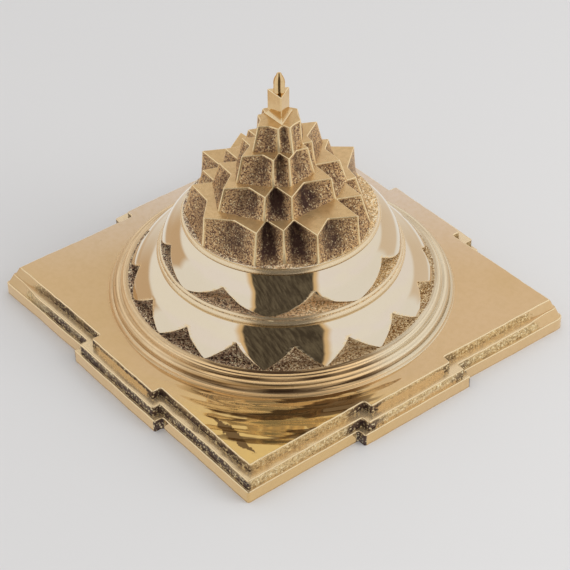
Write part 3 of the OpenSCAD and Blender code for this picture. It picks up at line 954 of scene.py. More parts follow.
def spinSection(bm, section, turns, closed=True):
    verts = [bm.verts.new((r * mm, 0.0, z * mm)) for r, z in section]
    follow = verts[1:] + verts[:1] if closed else verts[1:]
    edges = [bm.edges.new(pair) for pair in zip(verts, follow)]
    bmesh.ops.spin(bm, geom=verts + edges, cent=(0, 0, 0), axis=(0, 0, 1), dvec=(0, 0, 0),
                   angle=math.tau, steps=turns, use_merge=True, use_duplicate=False)


def turnedArc(spec, centre, radius, start, end, count, shadedEnds):
    cut = []
    for k, (r, z) in enumerate(arcPoints(centre, radius, start, end, count)):
        fromGroove = min(abs(k % spec["grooveEvery"] - spec["grooveEvery"] // 2), 3)
        depth = 0.0
        if 0 < k < count:
            depth = spec["toolMarks"] * (*spec["grooveDepths"], dice.uniform(0.0, 1.0), 0.0)[fromGroove]
        # painted shade: full in each groove and beside it, light and random on the tool marks between, full
        # on the points at either end
        soot = (*spec["grooveShadeAmounts"], dice.uniform(0.0, 0.4), 0.0)[fromGroove]
        if k < shadedEnds[0] or count - k < shadedEnds[1]:
            soot = 1.0
        pull = 1 - depth / radius
        cut.append((centre[0] + (r - centre[0]) * pull, centre[1] + (z - centre[1]) * pull, soot))
    return cut


def buildRing(spec):
    low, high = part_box("ring_moulding")
    outer, foot, top = high.x / mm, low.z / mm, high.z / mm
    bore = outer - spec["width"]
    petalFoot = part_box("sixteen_petal_drum")[1].x / mm
    bead = (outer - spec["beadRadius"], foot + spec["beadRadius"])
    upper = (petalFoot + spec["highOut"], top - spec["highRadius"])
    lower = ((bead[0] + upper[0]) / 2, foot + spec["lowRadius"])
    beadMeet = circleMeet(bead, spec["beadRadius"], lower, spec["lowRadius"])
    ridgeMeet = circleMeet(lower, spec["lowRadius"], upper, spec["highRadius"])
    section = [(bore, foot, 0.0), (outer + spec["runOut"], foot, 0.0)]
    for k in range(1, 5):
        share = k / 4
        out = outer + spec["runOut"] * (1 - share) ** 2
        section.append((out, foot + spec["beadRadius"] * share, spec["footShade"] * (1 - share)))
    arcs = (                      # degrees, points, and how many points at each end get full painted shade
        (bead, spec["beadRadius"], 0, angleAt(bead, beadMeet), 8, (0, 3)),
        (lower, spec["lowRadius"], angleAt(lower, beadMeet), angleAt(lower, ridgeMeet), 22, (4, 2)),
        (upper, spec["highRadius"], angleAt(upper, ridgeMeet), 90, 22, (3, 1)),
    )
    for arc in arcs:
        section += turnedArc(spec, *arc)[1:]
    section.append((petalFoot + spec["topShade"], top, 1.0))
    section += [(r, top, 0.0) for r in (petalFoot, petalFoot - spec["landWidth"], bore)]
    bm = bmesh.new()
    layers = paintLayers(bm)
    spinSection(bm, [point[:2] for point in section], spec["turns"])
    closeUp(bm)
    landDown, landOut = spec["landGrain"]
    mean, swing = spec["streaks"]
    # painted shade in the grooves, at the foot and beside the petals, streaky, and far stronger towards the
    # front, where it stands for a dark reflection
    for vert in bm.verts:
        r, z = vert.co.xy.length / mm, vert.co.z / mm
        onLand = z > top - landDown and r < petalFoot + landOut
        nearest = min(section, key=lambda point: abs(point[0] - r) + abs(point[1] - z))
        outward = vert.co.xy.normalized()
        facing = step01(outward.dot(towardsFront), *spec["shadeFront"])
        spot = Vector((outward.x * 4.0, outward.y * 4.0, nearest[0] * 3.0 + nearest[1]))
        streak = max(mean + swing * noise.noise(spot), 0.0)
        soot = nearest[2] * mixed(*spec["shadeShare"], facing) * streak
        markLoop([vert], layers, grain=1.0 if onLand else 0.0, soot=min(soot, 1.0))
    finishPiece(bm, "turnedRing", "ring_moulding", turnedBrass, 50.0)


buildRing(turnedRing)


# petal drums: every cut and the half petals beside it are two grids bent onto the drum
def bulgedArc(footRadius, footZ, topRadius, topZ, bulge):
    run, rise = footRadius - topRadius, topZ - footZ
    chord = math.hypot(run, rise)
    radius = (chord ** 2 / 4 + bulge ** 2) / (2 * bulge)
    centre = ((footRadius + topRadius) / 2 - (radius - bulge) * rise / chord,
              (footZ + topZ) / 2 - (radius - bulge) * run / chord)
    start = math.atan2(footZ - centre[1], footRadius - centre[0])
    end = math.atan2(topZ - centre[1], topRadius - centre[0])

    def at(t):
        angle = start + (end - start) * t
        return centre[0] + radius * math.cos(angle), centre[1] + radius * math.sin(angle)
    return at, radius * (end - start)


def cylinderPoint(radius, angle, z):
    return Vector((radius * math.cos(angle), radius * math.sin(angle), z)) * mm


def bentGrid(bm, columns, rows, place, layers, paint):
    for vert in bmesh.ops.create_grid(bm, x_segments=columns, y_segments=rows, size=1.0)["verts"]:
        column = round((vert.co.x + 1) / 2 * columns)
        row = round((vert.co.y + 1) / 2 * rows)
        vert.co = place(column, row)
        markLoop([vert], layers, **paint(column, row))


def buildPetals(bm, spec, layers):
    profile = (spec[key] for key in ("footRadius", "footZ", "topRadius", "topZ", "bulge"))
    at, arcLength = bulgedArc(*profile)
    half = math.pi / spec["count"]
    tipWidth = spec["footRadius"] * math.sin(half) - spec["tipFlat"] / 2
    petalColumns, roundColumns, cutColumns = spec["columns"]
    cutRows, upperRows = spec["rows"]

    def edgeAt(s, length, swell, seed=None):
        run = math.hypot(tipWidth, length)
        push = swell * 4 * s * (1 - s)
        if seed is not None:
            push += noise.noise(Vector((seed, s * 3.0, 0.5))) * spec["waver"] * 4 * s * (1 - s)
        across = tipWidth * (1 - s) - push * length / run
        t = (length * s - push * tipWidth / run) / arcLength
        radius, z = at(t)
        return math.asin(min(max(across, 0.0) / radius, 1.0)), t, radius, z

    # painted shade in each cut: strongest at its foot, with more on the cuts that face away from the front
    def paintCut(column, row):
        share, past = spec["grainEdge"]
        return {"grain": step01(column, roundColumns * share, roundColumns + past),
                "wear": fade(column, 0, roundColumns + 1),
                "soot": spec["soot"] * fade(row / cutRows, *spec["shadeRise"]) + sideShade}

    for cut in range(spec["count"]):
        middle = (cut + 0.5) * 2 * half
        facing = Vector((math.cos(middle), math.sin(middle))).dot(towardsFront)
        sideShade = spec["sideShade"] * fade(facing, *spec["sideTurn"])
        length, depth = (spec[key] * (1 + dice.uniform(-1, 1) * spec["uneven"])
                         for key in ("cutLength", "cutDepth"))
        lean = dice.uniform(-1, 1) * spec["uneven"] * half * 0.6
        apexRadius, apexZ = at(length / arcLength)
        creaseTop = Vector((apexRadius - spec["cutPoint"] * 0.7, apexZ - spec["cutPoint"] * 0.7))
        creaseFoot = Vector((spec["footRadius"] - depth, spec["footZ"]))
        for side in (-1, 1):
            swell = spec["swell"] * (1 + dice.uniform(-1, 1) * spec["uneven"] * 3)
            seed = cut * 7.3 + side * 2.1

            def petalPoint(column, row):
                s = min(row / cutRows, 1.0)
                up = max(row - cutRows, 0) / upperRows
                share = column / petalColumns
                inner, t = edgeAt(s, length + spec["rimRound"], swell, seed)[:2]
                plainT = edgeAt(s, spec["cutLength"] + spec["rimRound"], spec["swell"])[1]
                radius, z = at(mixed(mixed(t, plainT, share), 1, up))
                shift = lean * s * (1 - share) * (1 - up)
                return cylinderPoint(radius, middle + side * mixed(inner, half, share) + shift, z)

            def cutPoint(column, row):
                s = row / cutRows
                angle, t, radius, z = edgeAt(s, length, swell, seed)
                edge = cylinderPoint(radius, middle + side * angle + lean * s, z)
                floor = creaseFoot.lerp(creaseTop, s)
                crease = cylinderPoint(floor.x, middle + lean * s, floor.y)
                bite = min(0.5, spec["rimRound"] / max((crease - edge).length / mm, 0.01))
                if column >= roundColumns:
                    return edge.lerp(crease, bite + (1 - bite) * (column - roundColumns) / cutColumns)
                k = column / roundColumns
                rounded = edge.lerp(crease, bite)
                return petalPoint(0, row) * (1 - k) ** 2 + edge * 2 * k * (1 - k) + rounded * k ** 2

            bentGrid(bm, petalColumns, cutRows + upperRows, petalPoint, layers, lambda column, row: {})
            bentGrid(bm, roundColumns + cutColumns, cutRows, cutPoint, layers, paintCut)


def boundaryLoop(bm, z, tolerance=0.00002):
    edges = {e for e in bm.edges
             if e.is_boundary and all(abs(v.co.z - z * mm) < tolerance for v in e.verts)}
    return chainAlong(edges, min(edges, key=lambda e: e.index).verts[0])


def carryLoop(bm, loop, section, layers):
    for (radius, z), grain, wear in section:
        loop = nextLoop(bm, loop, circleLike([v.co for v in loop], radius * mm, z * mm))
        markLoop(loop, layers, grain=grain, wear=wear)
    return loop


def buildDrum(spec, below, above, name, node):
    bm = bmesh.new()
    layers = paintLayers(bm)
    buildPetals(bm, spec, layers)
    closeUp(bm, 0.000004, 0.000001)
    roughen(bm, layers, spec["lumps"], False)
    bm.edges.index_update()
    foot = boundaryLoop(bm, spec["footZ"])
    top = boundaryLoop(bm, spec["topZ"])
    if "ledge" in spec:
        rim = (spec["footRadius"] - spec["ledge"]) * mm
        points = []
        for vert in foot:
            outside = vert.co.xy.length > rim
            points.append(vert.co.copy() if outside else circleLike([vert.co], rim, vert.co.z)[0])
        foot = nextLoop(bm, foot, points)
        markLoop(foot, layers, grain=spec["ledgeGrain"])
    foot = carryLoop(bm, foot, below, layers)
    top = carryLoop(bm, top, above, layers)
    bmesh.ops.bridge_loops(bm, edges=loopEdges(bm, foot) + loopEdges(bm, top))
    closeUp(bm)
    finishPiece(bm, name, node, spec["brass"], 32.0)


petalCuts = {
    "cutLength": 8.2,
    "rimRound": 0.35,
    "uneven": 0.05,
    "lumps": (0.1, 1.1),
    "grainEdge": (0.6, 0.8),  # the cast skin of a cut starts on its rounded rim and is full past that
    "shadeRise": (0.0, 0.7),
    "sideTurn": (0.3, 0.8),
    "bore": 2.25,
}
sixteenPetals = {
    **petalCuts,
    "brass": petalBrass,
    "soot": 0.25,
    "sideShade": 0.0,
    "count": 16,
    "footRadius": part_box("sixteen_petal_drum")[1].x / mm,
    "topRadius": 46.2,
    "footZ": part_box("ring_moulding")[1].z / mm,
    "topZ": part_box("eight_petal_drum")[0].z / mm,
    "bulge": 1.7,
    "cutDepth": 5.0,
    "cutPoint": 0.8,
    "swell": 0.45,
    "tipFlat": 0.7,
    "waver": 0.25,
    "columns": (6, 3, 8),
    "rows": (22, 12),
    "spigot": 50.5,
    "hollow": 43.0,
    "deck": 7.6,
    "boss": 30.9,
}


def buildSixteen(spec):
    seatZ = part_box("sixteen_petal_drum")[0].z / mm
    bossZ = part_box("sixteen_petal_drum")[1].z / mm
    ceiling = spec["topZ"] - spec["deck"]
    inside = (("spigot", spec["footZ"]), ("spigot", seatZ), ("hollow", seatZ),
              ("hollow", ceiling), ("bore", ceiling))
    onTop = (("boss", spec["topZ"]), ("boss", bossZ), ("bore", bossZ))
    below = [((spec[key], z), 1.0, 0.0) for key, z in inside]
    above = [((spec[key], z), 0.0, 0.0) for key, z in onTop]
    buildDrum(spec, below, above, "sixteenPetalDrum", "sixteen_petal_drum")


buildSixteen(sixteenPetals)

eightPetals = {
    **petalCuts,
    "brass": lotusBrass,
    "soot": 0.0,
    "sideShade": 0.9,
    "satin": 0.6,
    "count": 8,
    "footRadius": 45.0,
    "topRadius": 36.9,
    "footZ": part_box("eight_petal_drum")[0].z / mm + 3.4,
    "topZ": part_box("eight_petal_drum")[1].z / mm - 2.6,
    "bulge": 1.6,
    "cutDepth": 7.0,
    "cutPoint": 0.9,
    "swell": 1.0,
    "tipFlat": 1.0,
    "waver": 0.35,
    "columns": (12, 3, 10),
    "rows": (26, 12),
    "ledge": 0.35,            # rough floor of the cuts ends this far inside the lip
    "ledgeGrain": 0.7,
    "lipLow": 1.05,
    "lipHigh": 0.75,
    "lipOut": 0.55,
    "floorRadius": 36.2,
    "floorBead": 1.0,
    "beadLand": 0.25,
    "hollow": 31.0,
    "deck": 8.0,
}


def buildEight(spec):
    low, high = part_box("eight_petal_drum")
    deckZ, floorZ = low.z / mm, high.z / mm
    ceiling = floorZ - spec["deck"]
    upper = (spec["footRadius"], spec["footZ"] - spec["lipHigh"])
    lower = (spec["footRadius"] + spec["lipOut"], deckZ + spec["lipLow"])
    notch = circleMeet(lower, spec["lipLow"], upper, spec["lipHigh"])
    lip = arcPoints(upper, spec["lipHigh"], 90, angleAt(upper, notch), 8)
    lip += arcPoints(lower, spec["lipLow"], angleAt(lower, notch), -90, 10)[1:]
    below = [((spec["footRadius"], spec["footZ"]), 0.0, spec["satin"])]
    below += [(p, 0.9, 0.0) if k == 7 else (p, 0.0, spec["satin"]) for k, p in enumerate(lip[1:])]
    inside = (("hollow", deckZ), ("hollow", ceiling), ("bore", ceiling))
    below += [((spec[key], z), 1.0, 0.0) for key, z in inside]
    floorRadius = spec["floorRadius"]
    bead = (floorRadius, spec["topZ"] + spec["floorBead"])
    above = [((floorRadius + spec["beadLand"], spec["topZ"]), 0.0, 0.0),
             ((floorRadius, spec["topZ"]), 0.9, 0.0)]
    above += [(p, 0.0, spec["satin"]) for p in arcPoints(bead, spec["floorBead"], -90, 90, 12)[1:]]
    above += [((floorRadius, floorZ), 0.2, 0.0), ((floorRadius - 0.5, floorZ), 1.0, 0.0),
              ((spec["bore"], floorZ), 1.0, 0.0)]
    buildDrum(spec, below, above, "eightPetalDrum", "eight_petal_drum")


buildEight(eightPetals)


# star tiers: the outline comes from the frame, the filed edges and soft valleys are made here
starTiers = {
    "tipTrim": 0.55,
    "valleyTrim": (2.4, 0.6),   # at the foot and at the top
    "cornerPoints": 7,
    "wallPoint": 0.6,         # spacing of the points along a wall
    "rowHeight": 0.6,
    "fill": 1.0,              # how far a valley's foot comes out towards the line between its tips
    "cove": 1.7,
    "rimRound": 0.28,
    "jitter": 0.12,
    "tipGold": (0.3, 2.0),    # how far the filed gold runs from a tip along its walls
    "rimGold": (0.1, 0.8),
    "shadeReach": (0.1, 0.9),  # from valley to tip
    "shadeSide": Vector((-0.815, 0.58)),
    "shadeTurn": (0.66, 0.98),
    "shadeLeast": 0.42,        # away from that side
    "shadeMore": 0.86,         # on that side
    "shadePatches": (0.95, 0.4, 2.6),
    "shadeRise": (-0.3, 0.4),
    "tipWear": (0.25, 0.6),
    "trimShare": 0.35,        # most of a wall that one rounded corner takes
    "lumps": (0.12, 1.2),
    "bore": 2.25,
    "boreTurns": 32,
}


def outlineAt(node, z):
    bm = bmesh.new()
    bm.from_mesh(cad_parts[node].data)
    bmesh.ops.remove_doubles(bm, verts=bm.verts, dist=0.000001)
    inside = {f for f in bm.faces if abs(f.normal.z) > 0.99 and abs(f.calc_center_median().z - z) < 0.00001}
    rim = {e for e in bm.edges if sum(f in inside for f in e.link_faces) == 1}
    ends = [v for e in rim for v in e.verts]
    first = max(ends, key=lambda v: (round(v.co.xy.length, 6), v.co.x, v.co.y))
    points = [v.co.xy.copy() for v in chainAlong(rim, first)]
    bm.free()
    keep = []
    for i, p in enumerate(points):
        before, after = points[i - 1], points[(i + 1) % len(points)]
        if abs((p - before).normalized().cross((after - p).normalized())) > 0.01:
            keep.append(p)
    area = sum(p.cross(keep[(i + 1) % len(keep)]) for i, p in enumerate(keep))
    return keep if area > 0 else keep[::-1]


def circlePoints(radius, z, count):
    angles = [math.tau * k / count for k in range(count)]
    return [Vector((radius * math.cos(angle), radius * math.sin(angle), z)) for angle in angles]


def reachTo(outline, point, direction):
    best = 1.0
    for i, p in enumerate(outline):
        side = outline[(i + 1) % len(outline)].xy - p.xy
        turn = direction.cross(side)
        if abs(turn) > 1e-12:
            along = (p.xy - point).cross(side) / turn
            share = (p.xy - point).cross(direction) / turn
            if along > 0 and 0 <= share <= 1:
                best = min(best, along)
    return best


def buildTier(spec, node, name, ledge, smoke, footReach, holes):
    low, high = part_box(node)
    top = outlineAt(node, high.z)
    spread = high.x / max(p.x for p in top)
    floorRadius = eightPetals["floorRadius"] * mm
    room = outlineAt(ledge, low.z) if ledge else circlePoints(floorRadius, 0.0, 96)
    corners, feet, tips, valleys, footTrims, topTrims = [], [], [], [], [], []
    for i, p in enumerate(top):
        isTip = (p - top[i - 1]).cross(top[(i + 1) % len(top)] - p) > 0
        corner = p + Vector((dice.uniform(-1, 1), dice.uniform(-1, 1))) * spec["jitter"] * mm
        reach = p.length * spread
        if isTip:
            free = reachTo(room, p * spread, p.normalized()) - spec["rimRound"] * 1.3 * mm
            reach += max(min(footReach * mm, free), 0.0)
        (tips if isTip else valleys).append(corner)
        corners.append(corner)
        feet.append(corner * (reach / p.length))
        footTrims.append((spec["tipTrim"] if isTip else spec["valleyTrim"][0]) * mm)
        topTrims.append((spec["tipTrim"] if isTip else spec["valleyTrim"][1]) * mm)
    for i, corner in enumerate(corners):
        if corner in valleys:
            out = feet[i - 1].lerp(feet[(i + 1) % len(feet)], 0.5) - feet[i]
            free = reachTo(room, feet[i], out.normalized()) - spec["rimRound"] * 2 * mm
            feet[i] = feet[i] + out.normalized() * max(min(out.length * spec["fill"], free), 0.0)
    lengths = [(corners[(i + 1) % len(corners)] - p).length for i, p in enumerate(corners)]
    most = [spec["trimShare"] * min(lengths[i - 1], length) for i, length in enumerate(lengths)]
    footTrims, topTrims = ([min(pair) for pair in zip(trims, most)] for trims in (footTrims, topTrims))
    wallPoints = [max(4, round(length / mm / spec["wallPoint"])) for length in lengths]
    rim = spec["rimRound"] * mm
    outlineOf = partial(roundedOutline, cornerPoints=spec["cornerPoints"], wallPoints=wallPoints)
    outline = outlineOf(corners, topTrims)
    fromTip = [nearestGap(p, tips) for p in outline]
    # painted shade in the valleys, stronger on the side that the shade-side vector points to; smoke sets
    # its strength for each tier
    inValley = []
    for p, gap in zip(outline, fromTip):
        out = nearestGap(p, valleys)
        facing = step01(p.normalized().dot(spec["shadeSide"]), *spec["shadeTurn"])
        valleyShadeStrength = spec["shadeLeast"] + spec["shadeMore"] * facing
        inValley.append(fade(out / (out + gap), *spec["shadeReach"]) * valleyShadeStrength * smoke)
    wallTop = high.z - rim
    rows = max(6, round((wallTop - low.z) / mm / spec["rowHeight"]))
    loops = []
    for row in range(rows + 1):
        share = row / rows
        z = low.z + (wallTop - low.z) * share
        risen = 1.0 - (1.0 - share) ** spec["cove"]
        rowCorners = [foot.lerp(corner, risen if corner in valleys else share)
                      for foot, corner in zip(feet, corners)]
        toRim = step01((high.z - z) / mm, *spec["rimGold"])
        grain = [min(step01(gap, *spec["tipGold"]), toRim) for gap in fromTip]
        wear = [fade(gap, *spec["tipWear"]) for gap in fromTip]
        rowTrims = [mixed(a, b, share) for a, b in zip(footTrims, topTrims)]
        points = atHeight(outlineOf(rowCorners, rowTrims), z)
        # painted shade grows from the foot and stops short of the rim, in patches
        risenShade = toRim * step01(share, *spec["shadeRise"])
        soot = [depth * risenShade * patchy(p, *spec["shadePatches"]) for p, depth in zip(points, inValley)]
        loops.append((points, {"grain": grain, "wear": wear, "soot": soot}))
    inner = outlineOf(insetCorners(corners, rim), [trim * 0.8 for trim in topTrims])
    loops += rimLoops(outline, inner, high.z, rim)
    bm = bmesh.new()
    layers = paintLayers(bm)
    made = loftLoops(bm, layers, loops)

    def ring(radius, z):
        return circlePoints(radius * mm, z, spec["boreTurns"])

    bores = [startLoop(bm, ring(spec["bore"], low.z))]
    if holes is None:
        bores.append(nextLoop(bm, bores[0], ring(spec["bore"], high.z)))
    else:
        bores.append(startLoop(bm, ring(holes["tenon"], high.z)))
        fillFlat(bm, nextLoop(bm, bores[0], ring(spec["bore"], holes["rodEnd"])))
        fillFlat(bm, nextLoop(bm, bores[1], ring(holes["tenon"], holes["tenonEnd"])))
    fillFlat(bm, made[-1], bores[1])
    fillFlat(bm, made[0], bores[0])
    closeUp(bm)
    roughen(bm, layers, spec["lumps"])
    finishPiece(bm, name, node, tierBrass, 38.0, True)


blindHoles = {
    "rodEnd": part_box("tie_rod")[1].z + 0.3 * mm,
    "tenon": 1.55,
    "tenonEnd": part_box("central_triangle")[0].z - 0.2 * mm,
}
tierRows = (      # node, piece, the node below, strength of its painted shade, reach of its foot and its holes
    ("fourteen_triangle_tier", "fourteenPointTier", None, 1.0, 3.0, None),
    ("outer_ten_triangle_tier", "outerTenPointTier", "fourteen_triangle_tier", 1.12, 2.0, None),
    ("inner_ten_triangle_tier", "innerTenPointTier", "outer_ten_triangle_tier", 0.8, 2.0, None),
    ("eight_triangle_tier", "eightPointTier", "inner_ten_triangle_tier", 0.6, 2.0, blindHoles),
)
for tierRow in tierRows:
    buildTier(starTiers, *tierRow)


# central triangle: its foot flange runs up into the walls in a small cove
centralPrism = {
    "trim": 0.45,
    "rimRound": 0.25,
    "flange": 1.319,          # size of the flange over that of the prism
    "flangeThick": 0.5,
    "cove": 1.9,
    "tenon": 1.5,
    "bore": 1.05,
    "boreDepth": 4.05,
    "turns": 32,
    "rows": 8,
    "coveStart": 0.199,       # how much larger than the prism the foot of the cove is
    "coveWear": 0.8,
}


def buildCentral(spec):
    low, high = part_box("central_triangle")
    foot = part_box("eight_triangle_tier")[1].z
    corners = outlineAt("central_triangle", high.z)

    def outlineOf(scale, inset=0.0):
        points = insetCorners([corner * scale for corner in corners], inset * mm)
        return roundedOutline(points, [spec["trim"] * mm] * 3, 5, [10])

    rim = spec["rimRound"]
    shoulder = foot + spec["flangeThick"] * mm
    flange = outlineOf(spec["flange"])
    loops = [(atHeight(flange, z), {}) for z in (foot, shoulder - rim * mm)]
    loops += rimLoops(flange, outlineOf(spec["flange"], rim), shoulder, rim * mm)
    for k in range(spec["rows"] + 1):
        share = k / spec["rows"]
        scale = 1.0 + spec["coveStart"] * (1.0 - share) ** 2
        points = atHeight(outlineOf(scale), shoulder + spec["cove"] * mm * share)
        loops.append((points, {"wear": spec["coveWear"] * (1.0 - share)}))
    loops.append((atHeight(outlineOf(1.0), high.z - rim * mm), {}))
    loops += rimLoops(outlineOf(1.0), outlineOf(1.0, rim), high.z, rim * mm)
    bm = bmesh.new()
    made = loftLoops(bm, paintLayers(bm), loops)
    for loop, z, radius, end in ((made[0], foot, spec["tenon"] * mm, low.z),
                                 (made[-1], high.z, spec["bore"] * mm, high.z - spec["boreDepth"] * mm)):
        mouth = startLoop(bm, circlePoints(radius, z, spec["turns"]))
        fillFlat(bm, nextLoop(bm, mouth, circlePoints(radius, end, spec["turns"])))
        fillFlat(bm, loop, mouth)
    closeUp(bm)
    finishPiece(bm, "centralPrism", "central_triangle", binduBrass, 30.0, True)


buildCentral(centralPrism)


# bindu: a pin spun round the axis, straight at its foot and round at its end
bindu = {
    "straight": 3.2,
    "endRadius": 1.05,
    "bulge": 0.35,
    "shank": 1.0,
    "footRound": 0.15,
    "turns": 64,
}


def buildBindu(spec):
    low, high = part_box("bindu")
    radius = high.x / mm
    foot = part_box("central_triangle")[1].z / mm
    shoulder = high.z / mm - spec["endRadius"]
    at = bulgedArc(radius, foot + spec["straight"], spec["endRadius"], shoulder, spec["bulge"])[0]
    section = [(spec["shank"], low.z / mm), (spec["shank"], foot)]
    section += [(radius - spec["footRound"], foot), (radius, foot + spec["footRound"])]
    section += [at(k / 12) for k in range(13)]
    section += arcPoints((0, shoulder), spec["endRadius"], 10, 88, 8)
    bm = bmesh.new()
    paintLayers(bm)
    spinSection(bm, section, spec["turns"], False)
    bmesh.ops.remove_doubles(bm, verts=bm.verts, dist=0.000002)
    bmesh.ops.holes_fill(bm, edges=[e for e in bm.edges if e.is_boundary], sides=0)
    closeUp(bm)
    finishPiece(bm, "binduPin", "bindu", binduBrass, 35.0)


buildBindu(bindu)

# hardware keeps its CAD meshes
for nodeName in ("tie_rod", "rod_washer", "rod_nut", "drum_dowels", "tier_dowels"):
    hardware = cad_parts[nodeName]
    hardware.data.materials.clear()
    hardware.data.materials.append(hardwareSteel)
print("pieces built")


# studio: pale floor, an even tent of light, its open side at the camera and warm boards low at the back
studio = {
    "floorSize": 3.0,
    "floorTone": (0.705, 0.705, 0.705),
    "floorRough": 0.9,
    "horizon": (0.70, 0.70, 0.70),
    "horizonReach": (0.0, 0.3),
    "tent": (0.872, 0.862, 0.84),
    "tentShade": (0.862, 0.845, 0.87),
    "tentFolds": ((1.6, 2.0), (0.4, 0.6)),   # a noise and the ramp that it goes through
    "smoke": ((1.5, 4.0, 0.65), (0.35, 0.75)),
    "cardRadius": 0.74,
    "apronStart": 0.116,
    "openSide": (                # degrees up and over from the front, half widths to the left and right
        (0, 22, 23), (15, 22, 25), (30, 22, 26), (45, 21, 24),
        (60, 20, 21), (80, 17, 18), (95, 13, 13), (112, 8, 8),
    ),
    "openMargin": 1.25,          # its cards are this much wider, to fade out
    "openWaver": 0.09,
    "openHeart": (0.16, 0.24),
    "openDark": (0.058, 0.046, 0.033),
    "openTan": (0.72, 0.52, 0.29),
    "openGrey": (0.16, 0.135, 0.095),
    "openGap": 0.001,            # height of a card above the floor
    "warmBoardLeft": (0.60, 0.44, 0.29),
    "warmBoardRight": (0.72, 0.61, 0.49),
    "boardTurn": (131, 139),     # left and right
    "boardHalf": 35,
    "boardWaver": 3,
    "boardHeight": 24,
    "boardOut": 1.1,             # distance over that of the open side
    "boardFade": 0.25,
    "boardHeart": (0.25, 0.3),
    "warmGap": 0.0008,
    "warmFade": 2.5,
    "whiteBoard": (0.84, 0.835, 0.82),
    "bowlHeight": 30,
    "bowlOut": 1.15,
    "bowlHeart": (0.5, 0.6),
    "bowlGap": 0.0005,
    "lamp": {"turn": 70, "lift": 28, "distance": 0.9, "size": 0.6, "watts": 3.0},
}


# a ray from the middle of the floor, turned from the camera's side to the right and lifted
def studioRay(view, turn, lift=0.0):
    right, up, back = viewAxes(view)
    ahead = Vector((back.x, back.y, 0.0)).normalized()
    level = ahead * math.cos(turn) + right * math.sin(turn)
    return level * math.cos(lift) + Vector((0.0, 0.0, math.sin(lift)))


def addFloor(spec):
    bm = bmesh.new()
    bmesh.ops.create_grid(bm, x_segments=1, y_segments=1, size=spec["floorSize"])
    material, tree, shader = startMaterial("palePaper")
    setInputs(shader, Roughness=spec["floorRough"], Specular_IOR_Level=0.0)
    feed(shader.inputs["Base Color"], spec["floorTone"])
    meshObject(bm, "floor", material)


def addTent(spec):
    world = bpy.data.worlds.new("tent")
    bpy.context.scene.world = world
    world.use_nodes = True
    tree = world.node_tree
    tree.nodes.clear()
    ray = addNode(tree, "ShaderNodeTexCoord").outputs["Generated"]
    folds, edge = spec["tentFolds"]
    cloth = mixColour(ramp(noiseNode(ray, *folds), *edge), spec["tent"], spec["tentShade"])
    height = ramp(splitVector(ray)[2], *spec["horizonReach"])
    sky = addNode(tree, "ShaderNodeBackground")
    feed(sky.inputs["Color"], mixColour(height, spec["horizon"], cloth))
    feed(addNode(tree, "ShaderNodeOutputWorld").inputs["Surface"], sky.outputs[0])


def openWidth(spec, angle):
    rows = spec["openSide"]
    for first, second in zip(rows, rows[1:]):
        if angle <= second[0]:
            share = (angle - first[0]) / (second[0] - first[0])
            return tuple(a + (b - a) * share for a, b in zip(first[1:], second[1:]))
    return rows[-1][1:]


# a glowing card that only shiny metal sees, a painted reflection; its rim fades out
def addCard(name, columns, rows, place, tones, heart, smoke):
    bm = bmesh.new()
    layer = bm.verts.layers.float.new("inward")
    spot = bm.verts.layers.float_vector.new("spot")
    for vert in bmesh.ops.create_grid(bm, x_segments=columns, y_segments=rows, size=1.0)["verts"]:
        across, rise = vert.co.x, (vert.co.y + 1) / 2
        vert[spot] = (across * 8 + rise * 5, rise * 2.5, 0.0)
        vert.co, vert[layer] = place(across, rise)
    material, tree, out = emptyMaterial(name)
    inward = attributeValue(tree, "inward")
    spots = addNode(tree, "ShaderNodeAttribute", attribute_name="spot").outputs["Vector"]
    rimTone, heartTone, smokeTone = tones
    middle = mixColour(ramp(noiseNode(spots, *smoke[0]), *smoke[1]), heartTone, smokeTone)
    glow = addNode(tree, "ShaderNodeEmission")
    feed(glow.inputs["Color"], mixColour(ramp(inward, *heart), rimTone, middle))
    mix = addNode(tree, "ShaderNodeMixShader")
    feed(mix.inputs[0], ramp(inward, 0.0, heart[0]))
    feed(mix.inputs[1], addNode(tree, "ShaderNodeBsdfTransparent").outputs[0])
    feed(mix.inputs[2], glow.outputs[0])
    feed(out.inputs["Surface"], mix.outputs[0])
    card = meshObject(bm, name, material)
    for ray in ("camera", "diffuse", "shadow", "transmission", "volume_scatter"):
        setattr(card, "visible_" + ray, False)


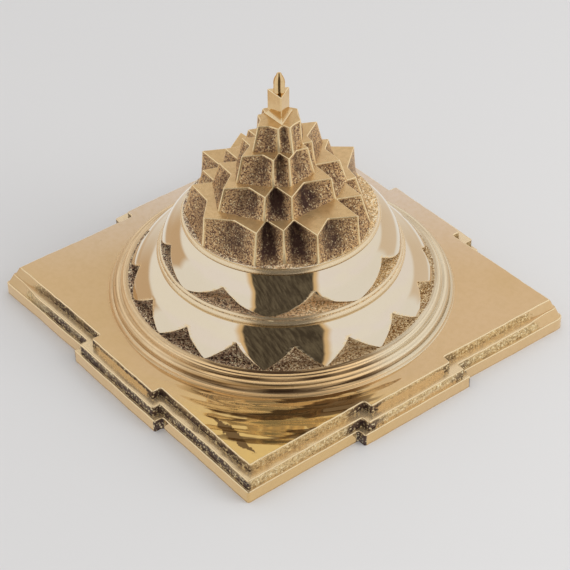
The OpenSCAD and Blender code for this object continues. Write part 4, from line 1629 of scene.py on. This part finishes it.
# each place function gives a card's point and how far that is from the rim
def addCards(spec, view):
    right = viewAxes(view)[0]
    ahead = studioRay(view, 0.0)
    above = Vector((0.0, 0.0, 1.0))
    radius, apron = spec["cardRadius"], spec["apronStart"]
    boardRadius, bowlRadius = radius * spec["boardOut"], radius * spec["bowlOut"]

    def openTurn(across, widths, waver=1.0):
        return math.radians(across * widths[1 if across > 0 else 0] * spec["openMargin"] * waver)

    def openPlace(across, rise):
        angle = spec["openSide"][-1][0] * rise
        waver = 1 + spec["openWaver"] * noise.noise(Vector((across * 0.4, angle / 30, 3.0)))
        turn = openTurn(across, openWidth(spec, angle), waver)
        lift = math.radians(angle)
        ray = (ahead * math.cos(lift) + above * math.sin(lift)) * math.cos(turn) + right * math.sin(turn)
        return ray * radius + above * spec["openGap"], min(1 - abs(across), (1 - rise) * 4)

    def floorPlace(across, rise):
        ray = studioRay(view, openTurn(across, spec["openSide"][0][1:]))
        return ray * (apron + (radius - apron) * rise) + above * spec["openGap"], 1 - abs(across)

    def boardTurn(side, across, rise):
        waver = spec["boardWaver"] * noise.noise(Vector((side * 4.0, rise * 1.2, 1.0)))
        middle = spec["boardTurn"][0 if side < 0 else 1]
        return math.radians(side * (middle + spec["boardHalf"] * across + waver))

    def boardPlace(side, across, rise):
        ray = studioRay(view, boardTurn(side, across, rise), math.radians(spec["boardHeight"] * rise))
        inward = min(1 + across, (1 - across) * spec["boardFade"], 1 - rise)
        return ray * boardRadius + above * spec["openGap"], inward

    def warmPlace(side, across, rise):
        ray = studioRay(view, boardTurn(side, across, 0.0))
        inward = min(1 + across, (1 - across) * spec["boardFade"], rise * spec["warmFade"])
        return ray * (apron + (boardRadius - apron) * rise) + above * spec["warmGap"], inward

    def bowlPlace(across, rise):
        turn = math.pi * across
        if rise < 0.5:
            return studioRay(view, turn) * bowlRadius * rise * 2 + above * spec["bowlGap"], 1.0
        lift = math.radians(spec["bowlHeight"] * (rise - 0.5) * 2)
        return studioRay(view, turn, lift) * bowlRadius + above * spec["bowlGap"], (1 - rise) * 2

    # painted reflections: dark cards for the open side and the floor before it, a white bowl that shows a
    # floor brighter than the shaded floor, and warm cards at the back
    openTones = (spec["openTan"], spec["openDark"], spec["openGrey"])
    addCard("openSide", 40, 90, openPlace, openTones, spec["openHeart"], spec["smoke"])
    addCard("openFloor", 40, 8, floorPlace, openTones, spec["openHeart"], spec["smoke"])
    addCard("whiteBowl", 64, 24, bowlPlace, [spec["whiteBoard"]] * 3, spec["bowlHeart"], spec["smoke"])
    for label, side in (("Left", -1), ("Right", 1)):
        tones = [spec["warmBoard" + label]] * 3
        for name, rows, place in (("warmBoard", 12, boardPlace), ("warmFloor", 24, warmPlace)):
            addCard(name + label, 30, rows, partial(place, side), tones, spec["boardHeart"], spec["smoke"])


def addLamp(spec, view):
    ray = studioRay(view, math.radians(spec["turn"]), math.radians(spec["lift"]))
    lampData = bpy.data.lights.new("softLamp", "AREA")
    lampData.shape = "SQUARE"
    lampData.size = spec["size"]
    lampData.energy = spec["watts"]
    lamp = addObject("softLamp", lampData)
    turn = ray.to_track_quat("Z", "Y").to_matrix().to_4x4()
    lamp.matrix_world = Matrix.Translation(ray * spec["distance"]) @ turn
    lamp.visible_glossy = False


addFloor(studio)
addTent(studio)
addCards(studio, photoView)
addLamp(studio["lamp"], photoView)
bpy.context.scene.view_settings.view_transform = "Standard"
print("studio set")
